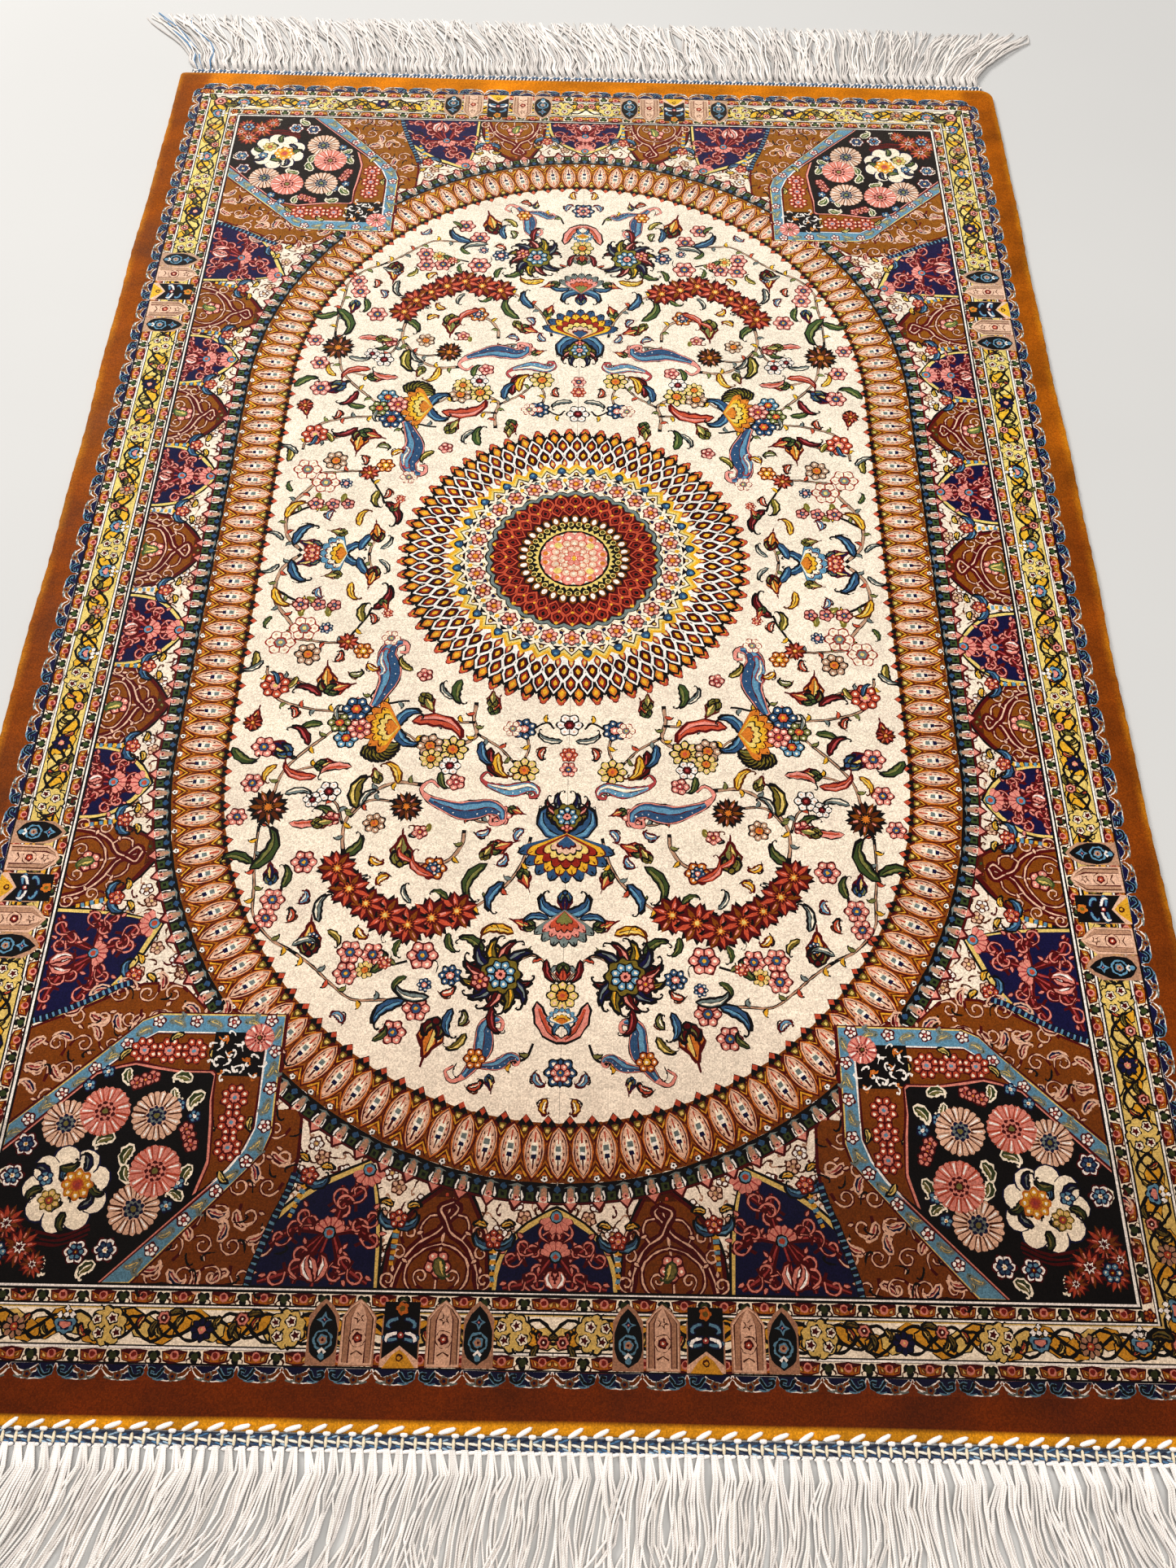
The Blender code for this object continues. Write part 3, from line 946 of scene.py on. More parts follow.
def edging_unit():
    """One turn of the outer scroll: along the edge by its distance from the field."""
    stem = smooth([-17 + 64j, -10 + 69.5j, -1 + 67.6j, 5 + 64j])
    hook = smooth([4 + 64j, 9 + 70.4j, 15 + 69j, 15 + 65j, 11 + 65.6j])
    return [
        (ribbon(stem, 4.2), "white"), (ribbon(stem, 2.8), "rust"),
        (ribbon(hook, 3.4), "sky"), (ribbon(hook, 2.2), "ink"),
        (lobed(4.4, 5, 0.3) - 4 + 70.4j, "steel"), (lobed(3.4, 5, 0.3) - 4 + 70.4j, "rust"),
        (disc(1.4, 6) - 4 + 70.4j, "navy"),
        (ribbon(smooth([-15 + 71.5j, -10 + 73j, -7.5 + 71j]), 1.5), "steel"),
        (ribbon(smooth([3 + 72.4j, 8 + 73.4j, 12 + 72.4j]), 1.2), "sky"),
    ]


def edging():
    """Scallops outside the borders, each with a scroll."""
    frame_line(60.2, 62.0, "ink")
    unit = 37.0
    for side, reach in (("short", FIELD_X + 62), ("long", FIELD_Y + 62)):
        count = round(reach / unit)
        pitch = reach / count
        for k in range(count):
            middle = (k + 0.5) * pitch
            t = np.linspace(-1, 1, 15)[1:-1]
            bulge = 63 + 10.5 * (1 - np.abs(t) ** 4) + 0.9 * np.abs(np.cos(t * 7))
            for width, drop, tone in ((0.5, 0.0, "white"), (0.485, 0.9, "navy")):
                rim = t * pitch * width + 1j * (bulge - drop)
                foot = np.array([pitch * width + 61.8j, -pitch * width + 61.8j])
                place(side, [(np.append(rim, foot), tone)], middle, 0)
            flip = -1 if k % 2 else 1
            unit_layers = [(mirrored(points, flip), tone) for points, tone in edging_unit()]
            place(side, unit_layers, middle, 0)


# Cartouche chain

def chain_path(steps=400):
    """The chain's middle line: straight, then round the end as part of an oval."""
    straight = CHAIN_X + 1j * np.linspace(0, CHAIN_BEND, steps // 2, endpoint=False)
    bend = np.linspace(0, np.pi / 2, steps)
    return np.concatenate(
        [straight, CHAIN_X * np.cos(bend) + 1j * (CHAIN_BEND + CHAIN_RISE * np.sin(bend))]
    )


def chain_stations(shift=0.5):
    """Evenly spaced places on the chain with the direction that points outward."""
    path = chain_path()
    length = walked(path)
    count = round(length[-1] / CHAIN_PITCH)
    spots = (np.arange(count + 1) + shift) * length[-1] / count
    spots = spots[spots <= length[-1] + 0.01]
    way = along_line(spots, length, np.gradient(path))
    return list(zip(along_line(spots, length, path), -1j * way / np.abs(way)))


def chain_band(inner, outer, tone, teeth=0.0, shift=0.0, steps=3):
    """A band beside the chain, its outer edge toothed with one tooth a station."""
    path = chain_path()
    length = walked(path)
    count = round(length[-1] / CHAIN_PITCH)
    spots = np.arange(count * steps * 2 + 1) * length[-1] / (count * steps * 2)
    at, way = along_line(spots, length, path), along_line(spots, length, np.gradient(path))
    out = -1j * way / np.abs(way)
    phase = (np.arange(len(spots)) / (steps * 2) + shift) % 1
    wave = teeth * (1 - np.abs(2 * phase - 1))
    edge = at + out * (outer + wave)
    back = (at + out * inner)[:: steps if teeth else 1]
    draw(closed(np.concatenate([edge, back[::-1]])), tone)


def cartouche():
    """Pointed oval panel, +x outward."""
    along = np.linspace(0, 1, 9)
    half = 10.8 * np.sin(np.pi * along**0.95) ** 0.7

    def oval(share, length, lift=0.0):
        x = -26 + lift + length * along
        return closed(np.concatenate([x + 1j * half * share, (x - 1j * half * share)[::-1]]))

    layers = [
        (oval(1.0, 52), "wine"), (oval(0.90, 48, 1.8), "orange"), (oval(0.80, 45.5, 3.0), "shell"),
        (oval(0.72, 44, 3.7), "wine"), (oval(0.64, 41.5, 4.8), "shell"), (oval(0.34, 27, 12), "cream"),
        (box(5, 4.8) - 3.4, "steel"), (box(2.6, 3.6) + 0.4, "white"), (box(4, 4.8) + 4.2, "navy"),
        (ribbon(np.array([6, 15.5]), 1.7), "wine"), (ribbon(np.array([-18, -8.5]), 1.5), "coral"),
    ]
    for k in range(5):
        for side in (1, -1):
            at = complex(-10.5 + 5.6 * k, side * (4.9 - 0.25 * (k - 2) ** 2))
            layers.append((box(2.6, 1.3) + at, "coral" if k % 2 else "brown"))
    return layers


def chain():
    """Cartouches and small panels in a row round the field."""
    chain_band(-27, 27, "rust")
    chain_band(-21.5, -18.5, "straw")
    chain_band(17.5, 21.0, "orange")
    chain_band(27, 34, "steel", 6, 0.0)
    chain_band(27, 29.0, "ink", 3.5, 0.5)
    for at, out in chain_stations(0.0):
        turn = np.degrees(np.angle(out))
        stamp([
            (box(15, 17) + 38.5, "ink"),
            (lobed(3.2, 4, 0.3) + 32.5, "blue"),
            (box(7.2, 7.2) + 39.4, "green"),
            (box(3.4, 3.0) + 39.4, "ink"),
            (ribbon(np.array([44.6 - 5j, 44.6 + 5j]), 2.0), "wine"),
            (ribbon(np.array([34.6 - 7.6j, 40 - 6.4j, 43 - 7j]), 1.4), "white"),
            (ribbon(np.array([34.6 + 7.6j, 40 + 6.4j, 43 + 7j]), 1.4), "white"),
        ], at, turn)
    for at, out in chain_stations(0.5):
        turn = np.degrees(np.angle(out))
        stamp([
            (box(8, 5.6) + 38.5, "taupe"), (disc(2.6, 7) + 41, "pink"), (disc(1.2, 5) + 41, "wine"),
            (lobed(2.6, 4, 0.4) + 33, "taupe"),
            (np.array([44 - 7.5j, 52.5 - 0.8j, 52.5 + 0.8j, 44 + 7.5j]), "wine"),
            (np.array([44 - 4.8j, 50.0 + 0j, 44 + 4.8j]), "pink"),
            (lobed(3.6, 5, 0.3) + 23.5, "ink"), (lobed(2.9, 5, 0.3) + 23.5, "white"),
            (disc(1.2, 5) + 23.5, "ink"),
            (np.array([-34 + 0j, -27.5 - 5.6j, -22 - 8.5j, -16 + 0j, -22 + 8.5j, -27.5 + 5.6j]), "ink"),
            (np.array([-33.2 + 0j, -29.5 - 3.2j, -25.5 - 0j, -29.5 + 3.2j]), "coral"),
            (np.array([-24.5 + 0j, -20.5 - 5.0j, -15.5 + 0j, -20.5 + 5.0j]), "wine"),
            (box(6.4, 6.0) - 19.6, "olive"), (box(3.0, 3.0) - 19.6, "straw"),
        ], at, turn)
        for k, tone in enumerate(("wine", "yellow", "wine", "gold")):
            for tip, way in ((-19.5 + 2.5 * k, 1), (20.5 - 2.5 * k, -1)):
                chevron = np.array([tip - 4 * way + 6.5j, tip + 5 * way, tip - 4 * way - 6.5j])
                stamp([(ribbon(chevron, 1.5), tone)], at, turn)
    panel = cartouche()
    for at, out in chain_stations(0.0):
        stamp(panel, at, np.degrees(np.angle(out)))


# Medallion

def ring(count, radius, motif, shift=0.0, size=1.0):
    """A motif repeated round the middle, its +x outward, where the quarter needs it."""
    for k in range(count):
        turn = 360 * (k + shift) / count
        if -12 < turn < 102 or turn > 348:
            stamp(motif, radius * np.exp(1j * np.radians(turn)), turn, size)


def flame(length, width, tones, base=0.5):
    """A pointed petal along +x, of nested tones."""
    layers = []
    for k, tone in enumerate(tones):
        share = 1 - k / (len(tones) + 0.25)
        long = length * share
        layers.append((closed(np.array([
            -long * base, -long * 0.12 - 0.5j * width * share, long * 0.18 - 0.42j * width * share,
            long * 0.5, long * 0.18 + 0.42j * width * share, -long * 0.12 + 0.5j * width * share,
        ]) + 0j), tone))
    return layers


def medallion():
    """The round medallion, ring by ring from the outside."""
    spokes = 64
    ring(spokes, 192, [(disc(7.8, 8), "ink")], 0.5)
    ring(
        spokes, 197,
        [(lobed(6.2, 3, 0.3, 4), "wine"), (lobed(5.0, 3, 0.3, 4), "coral"), (disc(2.4, 6) - 1, "yellow")],
        0.5,
    )
    draw(disc(191, 104), "ink")
    ring(spokes, 176, flame(38, 19.5, ("ink", "white")), 0.5)
    ring(spokes, 187, flame(22, 13, ("ink", "orange", "yellow")), 0.5)
    ring(spokes, 174, flame(36, 19, ("ink", "white", "ink", "red", "yellow")), 0.0)
    ring(spokes, 158, flame(30, 16, ("white", "ink", "wine", "yellow")), 0.5)
    draw(disc(149, 2 * spokes), "white")
    ring(spokes, 146, flame(18, 8, ("ink", "coral", "straw")), 0.0)
    teeth = 48
    t = np.arange(teeth * 2)
    for radius, depth, tone in (
        (146, 9, "yellow"), (141, 9, "straw"), (137.5, 9, "ink"), (135.6, 9, "cream"), (130, 7, "ink"),
    ):
        draw((radius - depth * (t % 2)) * np.exp(1j * np.pi * t / teeth), tone)
    ring(
        24, 134,
        [(lobed(6.4, 3, 0.3, 3), "ink"), (lobed(5.0, 3, 0.3, 3), "blue"), (disc(2.0, 6) + 1, "sky")], 0.5,
    )
    ring(24, 129, [(disc(3.0, 7), "wine"), (disc(1.8, 6), "straw")], 0.0)
    draw(disc(125, 72), "cream")
    ring(56, 121, [(lobed(3.4, 4, 0.35), "ink"), (lobed(2.5, 4, 0.35), "steel")], 0.5)
    ring(56, 104.5, [(lobed(3.2, 4, 0.35), "wine"), (lobed(2.3, 4, 0.35), "straw")], 0.0)
    ring(28, 113, bloom(8.8, 6, "pink", "orange", "wine"), 0.0)
    ring(
        28, 113, [(ribbon(np.array([-9, -3 + 2j, 4 - 1j, 10]), 1.2), "ink"), (disc(3, 6) + 6, "yellow")],
        0.5,
    )
    ring(28, 106, [(disc(2.6, 6), "navy")], 0.5)
    draw(lobed(102.5, 32, 0.04, 4), "ink")
    draw(lobed(101, 32, 0.04, 4), "steel")
    draw(lobed(97.5, 32, 0.05, 4), "ink")
    draw(lobed(96, 32, 0.05, 4), "wine")
    petal = flame(22, 15.5, ("coral", "wine", "red", "ink"))
    ring(32, 86, petal, 0.0, 1.0)
    ring(32, 74, petal, 0.5, 0.9)
    ring(32, 94, [(disc(2.4, 6), "yellow")], 0.0)
    ring(32, 78, [(disc(1.6, 6), "yellow")], 0.0)
    draw(lobed(66, 32, 0.05, 4), "ink")
    ring(
        32, 58.5,
        [
            (closed(disc(4.4, 8) + 0.6 * disc(4.4, 8).real), "rust"),
            (disc(2.7, 8) + 0.5 * disc(2.7, 8).real, "white"),
        ],
        0.0,
    )
    ring(32, 51, [(disc(3.6, 8), "straw"), (disc(2.5, 8), "ink"), (disc(1.1, 5), "olive")], 0.5)
    draw(star(47, 40, 0.9), "straw")
    draw(disc(41, 48), "ink")
    draw(disc(38, 48), "cream")
    for count, radius, size, tone in (
        (16, 32, 7.4, "pink"), (16, 23, 5.6, "shell"), (12, 14.5, 4.6, "shell"),
    ):
        petal = [
            (disc(size, 9), "coral"), (disc(size - 0.9, 9), tone), (disc(size * 0.36, 6) - 1, "cream"),
        ]
        ring(count, radius, petal, 0.5 * (radius != 23))
    ring(4, 26, [(disc(4.6, 8), "straw")], 0.5)
    ring(8, 33.5, [(disc(3.2, 8), "orange")], 0.25)
    ring(6, 7, [(disc(4.2, 8), "coral"), (disc(3.3, 8), "pink")], 0.0)
    draw(disc(3.2, 8), "yellow")


# Arches round the field's edge

# Arches: side, tone, low end, high end, apex along, apex depth
ARCHES = (
    ("short", "navy", -52, 52, 0, 69),
    ("short", "rust", 58, 147, 88, 94),
    ("short", "navy", 153, 262, 167, 107),
    ("long", "rust", -52, 52, 0, 73),
    ("long", "navy", 66, 160, 113, 70),
    ("long", "rust", 164, 262, 212, 68),
    ("long", "navy", 266, 350, 308, 66),
    ("long", "rust", 355, 448, 384, 92),
    ("long", "navy", 454, 566, 466, 104),
)


def inward(side, points):
    """From along and depth to the quarter."""
    points = np.asarray(points, complex)
    if side == "short":
        return points.real + 1j * (FIELD_Y - points.imag)
    return FIELD_X - points.imag + 1j * points.real


def arch_outline(low, high, apex, depth, shrink=0.0):
    """A pointed arch, by its way along the side and its depth."""
    low, high, depth = low + shrink, high - shrink, depth - 1.5 * shrink

    def flank(foot):
        rise = ((0, 0), (0.03, 0.26), (0.16, 0.52), (0.44, 0.75), (0.74, 0.90), (1, 1))
        return smooth([foot + across * (apex - foot) + 1j * deep * depth for across, deep in rise], 3)

    return closed(np.concatenate([flank(low), flank(high)[:-1][::-1]]))


def arch_room(deep):
    """The share of an arch's half width that is left at a share of its depth."""
    return np.interp(deep, (0, 0.26, 0.52, 0.75, 0.9, 1), (1, 0.97, 0.84, 0.56, 0.26, 0))


def arch(side, tone, low, high, apex, depth):
    """One arch with its vines, boughs and flowers."""
    edge, line, rim = ("wine", "shell", "wine") if tone == "rust" else ("wine", "rose", "straw")
    draw(inward(side, arch_outline(low - 3.6, high + 3.6, apex, depth + 5)), "ink")
    draw(inward(side, arch_outline(low - 1.4, high + 1.4, apex, depth + 2.4)), rim)
    draw(inward(side, arch_outline(low, high, apex, depth, 1.6)), tone)
    middle, wide = (low + high) / 2, (high - low) / 2

    def spot(deep, across=0.0):
        """A place in the arch, by share of its depth and of the room beside its middle line."""
        line_x = middle + (apex - middle) * deep**1.6
        return line_x + across * wide * arch_room(deep) + 1j * depth * deep

    def put(layers, at, flip):
        for points, shade in layers:
            draw(inward(side, mirrored(points, flip) + at), shade)

    trunk = smooth([spot(d) for d in (0.0, 0.3, 0.6, 0.92)])
    draw(inward(side, ribbon(trunk, 3.4)), edge)
    draw(inward(side, ribbon(trunk, 1.7)), line)
    if tone == "rust":
        for flip in (1, -1):
            for width, *knots in RUST_VINES:
                vine_line = smooth([spot(deep, across * flip) for deep, across in knots])
                draw(inward(side, ribbon(vine_line, width + (7.0 if width > 1.4 else 3.6))), edge)
                draw(inward(side, ribbon(vine_line, width)), line)
            for deep, across, turn in RUST_HOOKS:
                put(moved(spiral(0.15 * wide, 1.5, line, edge), 0, turn), spot(deep, across * flip), flip)
        stamp(MOTIFS["small_rose"], inward(side, [spot(0.24)])[0], 0 if side == "long" else 90, 1.35)
        stamp(
            leaf(17, 8, 20, "leaf", "straw", "green"), inward(side, [spot(0.29)])[0],
            90 if side == "short" else 0,
        )
        tip = [spot(0.93, -0.9), spot(0.84, -0.86), spot(0.84, 0.86), spot(0.93, 0.9), spot(0.98)]
        draw(inward(side, np.array(tip)), "brown")
        for at, across, shade in ((0.87, -0.4, "green"), (0.87, 0.4, "coral"), (0.92, 0.0, "leaf")):
            draw(disc(1.7, 6) + inward(side, [spot(at, across)])[0], shade)
    else:
        for flip in (1, -1):
            for deep, across, bend in NAVY_BOUGHS:
                start, end = spot(0.44, 0.06 * flip), spot(deep, across * flip)
                bough = smooth([start, (start + end) / 2 + 1j * bend * flip * (end - start), end])
                full = np.sin(np.pi * np.linspace(0, 1, len(bough)))
                draw(inward(side, ribbon(bough, 4.2 + 3.6 * full)), edge)
                draw(inward(side, ribbon(bough, 1.0 + 0.9 * full)), line)
                for share, lean in ((0.5, 55), (0.86, -60)):
                    way = np.degrees(np.angle(end - start)) * flip + (0 if flip > 0 else 180)
                    root = bough[int(share * (len(bough) - 1))]
                    put(
                        moved(spiral(0.13 * wide + 1.2, 1.7, "pink", edge, 0.85), 0, way + lean + 20),
                        root, flip,
                    )
        for turn in (-52, 0, 52):
            outward = 90 if side == "short" else 0
            stamp(
                leaf(0.24 * depth, 7.5, -turn or 20, "pink", "white", "wine"),
                inward(side, [spot(0.06)])[0], outward + 180 + turn,
            )
        stamp(fan_bloom(14), inward(side, [spot(0.44)])[0], 180 if side == "long" else 270, 1.0)
        stamp(fan_bloom(15), inward(side, [apex + 1j * (depth - 5)])[0], 0 if side == "long" else 90, 1.0)


# Trails in the rust arches: width, then depth and place across as shares
RUST_VINES = (
    (1.5, (0.03, 0.84), (0.24, 0.74), (0.42, 0.52), (0.52, 0.16), (0.62, 0.0), (0.74, -0.3), (0.80, 0.1)),
    (1.3, (0.0, 0.46), (0.10, 0.60), (0.26, 0.58), (0.38, 0.30), (0.42, 0.0)),
    (1.2, (0.46, 0.44), (0.56, 0.60), (0.66, 0.55), (0.68, 0.3)),
)
# Hooks beside them: depth, place across, turn
RUST_HOOKS = ((0.13, 0.30, 60), (0.34, 0.86, 150), (0.52, 0.80, 100), (0.10, 0.93, 30))
# Ends of the boughs in the navy arches: depth, place across, bend
NAVY_BOUGHS = (
    (0.04, 0.30, 0.16), (0.05, 0.86, -0.14), (0.34, 0.94, 0.18), (0.62, 0.86, -0.12), (0.82, 0.5, 0.16),
)


def fan_bloom(radius):
    """An open pink fan with a coloured heart, opening along +x."""
    layers = [(fan(radius + 1, 6, 84), "wine"), (fan(radius, 6, 84), "pink")]
    for k in range(5):
        ray = np.exp(1j * np.radians(-56 + 28 * k))
        layers.append((ribbon(np.array([0.4, 0.95]) * radius * ray, 1.0), "rose"))
    layers += [
        (disc(radius * 0.42, 8), "ink"), (disc(radius * 0.34, 8), "sky"), (disc(radius * 0.2, 7), "coral"),
    ]
    return layers


# Small coral flowers between the arches: across, along, turn
JOINTS = (
    (458, 58, 180), (458, 162, 180), (457, 264, 180), (449, 352, 190), (441, 439, 195), (409, 520, 215),
    (54, 758, 270), (138, 742, 265), (220, 706, 250),
)


def joint_flower():
    """A coral flower in a sky-blue leaf frame with a rope of knots behind, opening along +x."""
    layers = []
    for k in range(7):
        layers.append((box(3.4, 6.0 - 0.4 * k) - 10 - 4.6 * k, "sky" if k % 2 else "yellow"))
    for side in (1, -1):
        layers += moved(leaf(22, 6.5, -60 * side, "blue", "sky"), -6, 100 * side)
    layers += moved(bloom(7.5, 5, "coral", "pink", "wine", "yellow"))
    for side in (1, -1):
        layers += moved(leaf(11, 4.4, 40 * side, "yellow", "straw"), 11 + 7j * side, 50 * side)
    return layers


def swirls():
    """Brown curls and scalloped flowers all over the ivory behind the arches."""
    for row in range(64):
        for column in range(36):
            at = complex(7 + 14 * column + 7 * (row % 2), 8 + 12.4 * row)
            past = complex(at.real / 424, max(0.0, at.imag - CHAIN_BEND) / 456)
            if abs(past) < 0.96 or at.real > FIELD_X or at.imag > FIELD_Y:
                continue
            turn = 97 * row + 61 * column
            if (row + column) % 3 == 0:
                stamp(bloom(6.2, 5, "shell" if row % 2 else "white", "taupe", "brown", "straw"), at, turn)
            elif (row + column) % 3 == 1:
                stamp(curl(25, 1.9, 60, 330, "brown" if row % 2 else "wine"), at, turn)
            else:
                stamp(curl(24, 1.9, -60, -330, "brown"), at, turn)
                stamp(curl(16, 1.6, 60, 330, "taupe"), at, turn + 150)


# Corner panel

HEX_OUTER = (
    (498, 665), (450, 619), (402, 574), (392, 563), (376, 556), (258, 556), (257, 640), (256, 668),
    (262, 686), (275, 703), (362, 802),
)
HEX_INNER = (
    (498, 690), (425, 616), (390, 584), (376, 575), (273, 575), (273, 640), (273, 664), (280, 684),
    (292, 702), (390, 802),
)
BLACK_PANEL = (
    (425, 616), (404, 609), (390, 606), (372, 610), (350, 613), (320, 613), (317, 616), (317, 640),
    (313, 668), (311, 696), (319, 726), (300, 711), (390, 802), (498, 802), (498, 690),
)
LOBE = (
    (358, 530), (372, 526), (398, 527), (420, 536), (450, 552), (498, 574), (498, 802), (262, 802),
    (256, 780), (244, 742), (234, 716), (230, 690), (231, 655), (236, 648), (256, 648), (256, 556),
    (330, 556),
)
# Leaves on the black panel: place, turn, size
PANEL_LEAVES = (
    (324 + 634j, 20, 1.0), (338 + 622j, 320, 0.9), (380 + 683j, 40, 1.0), (398 + 676j, 350, 1.0),
    (384 + 700j, 80, 0.9), (490 + 705j, 90, 0.8), (325 + 700j, 40, 0.9), (352 + 630j, 90, 0.7),
    (396 + 612j, 70, 0.8), (330 + 730j, 300, 0.8), (395 + 785j, 10, 0.9), (440 + 780j, 60, 0.8),
)
# Flowers on the black panel: kind, across, along, size
PANEL_FLOWERS = (
    ("beige", 364, 655, 1.0), ("beige", 444, 664, 0.95), ("pink", 411, 652, 1.0),
    ("beige", 370, 738, 1.0), ("pink", 357, 705, 1.02),
)


def inside(outline, at):
    """Whether a place lies in an outline."""
    ahead = np.roll(outline, -1)
    crossed = (outline.imag > at.imag) != (ahead.imag > at.imag)
    rise = np.where(crossed, ahead.imag - outline.imag, 1)
    meets = outline.real + (at.imag - outline.imag) * (ahead.real - outline.real) / rise
    return np.count_nonzero(crossed & (meets > at.real)) % 2 == 1


def polygon(corners):
    """Pairs of numbers as an outline."""
    return np.array([complex(*corner) for corner in corners])


def rope(knots, tones=("navy", "sky"), width=4.4, pitch=3.0):
    """Small bars side by side along a curve."""
    line = smooth([complex(*knot) for knot in knots], 8)
    length = walked(line)
    draw(ribbon(line, width + 1.6), "ink")
    for k in range(int(length[-1] / pitch)):
        bar = along_line(k * pitch + np.array([0.3, pitch - 0.7]), length, line)
        draw(ribbon(bar, width), tones[k % len(tones)])


def drawn_in(outline, core, by):
    """An outline with its points moved towards a place."""
    return outline + by * (core - outline) / np.abs(core - outline)


def corner():
    """The corner's leafy lobe with the flowered hexagon on it."""
    lobe = polygon(LOBE)
    draw(lobe, "wine")
    draw(drawn_in(lobe, np.mean(lobe), 3.2), "rust")
    for k in range(10 * 11):
        at = complex(243 + 25 * (k % 10) + 12 * (k // 10 % 2), 538 + 25.5 * (k // 10))
        if inside(lobe, at):
            stamp(spiral(8.4, 1.5, "shell", "wine"), at, 70 * k + 25 * (k // 10), 1.0, k % 2 == 0)
            tone = "navy" if k % 3 == 1 else "wine"
            stamp(leaf(18, 5.4, 40, tone, "rose", "shell"), at + 12 - 4j, 50 * k)
            stamp(curl(26, 2.0, 40, 200, "ink"), at - 12 + 6j, 90 * k)
    rope(((233, 704), (238, 722), (248, 748), (260, 786), (263, 802)), width=5)
    rope(((409, 527), (426, 534), (452, 549), (480, 562), (498, 569)), width=5)
    core = complex(400, 700)
    for outline, rims in (
        (polygon(HEX_OUTER), ((0, "wine"), (2.2, "straw"), (3.4, "sky"))),
        (polygon(HEX_INNER), ((0, "white"), (1.7, "wine"), (3.6, "rust"))),
    ):
        for inset, tone in rims:
            draw(np.append(drawn_in(outline, core, inset), complex(FIELD_X, FIELD_Y)), tone)
    band_flowers()
    rosette_rows()
    draw(box(48, 42) + complex(299, 596), "ink")
    stamp(daisy(14, "pink", "rose", "wine", 14), complex(281, 580), 0, 1.0)
    for k in range(36):
        at = complex(279 + 8 * (k % 6), 579 + 7 * (k // 6))
        if abs(at - complex(283, 582)) > 14:
            stamp(curl(19, 1.7, 60, 330, "white" if k % 5 else "orange"), at, 97 * k)
    panel = polygon(BLACK_PANEL)
    for inset, tone in ((-2.0, "wine"), (0, "pink"), (1.8, "ink")):
        draw(drawn_in(panel, core, inset), tone)
    black_panel_flowers()


def band_flowers():
    """White flowers and green dashes along the blue band."""
    line = smooth([complex(*knot) for knot in (
        (497, 678), (446, 630), (402, 588), (384, 568), (360, 565), (300, 565), (266, 565), (265, 600),
        (265, 650),
        (268, 676), (284, 703), (330, 752), (376, 802))], 8)
    length = walked(line)
    for k in range(int(length[-1] / 17.5)):
        spot = 8 + 17.5 * k
        at, ahead = along_line(spot, length, line), along_line(spot + 2, length, line)
        turn = np.degrees(np.angle(ahead - at))
        if k % 2:
            stamp(bloom(5.4, 5, "white", "rose", "wine", "cream"), at, turn)
        else:
            stamp(
                leaf(14, 4, 30, "green", "straw", "steel"), at - 7 * np.exp(1j * np.radians(turn)), turn,
                1.0, k % 4 == 0,
            )
            stamp(
                leaf(12, 3.2, -30, "straw", "leaf", "steel"), at - 4 * np.exp(1j * np.radians(turn)),
                turn, 1.0,
            )


def rosette_rows():
    """Coral rosettes and leaves inside the hexagon's two straight sides."""
    for along in (0, 1, 2):
        for at in (complex(340 + 23 * along, 594), complex(296, 637 + 23 * along)):
            stamp(bloom(12.5, 8, "coral", "pink", "wine", "sky"), at, 22)
    for at, turn in (
        (323 + 592j, 90), (398 + 594j, 20), (278 + 655j, 60), (300 + 704j, 100), (315 + 655j, 80),
        (352 + 578j, 0),
        (375 + 610j, 0),
    ):
        stamp(leaf(13, 4, 40, "straw", "leaf", "ink"), at, turn)


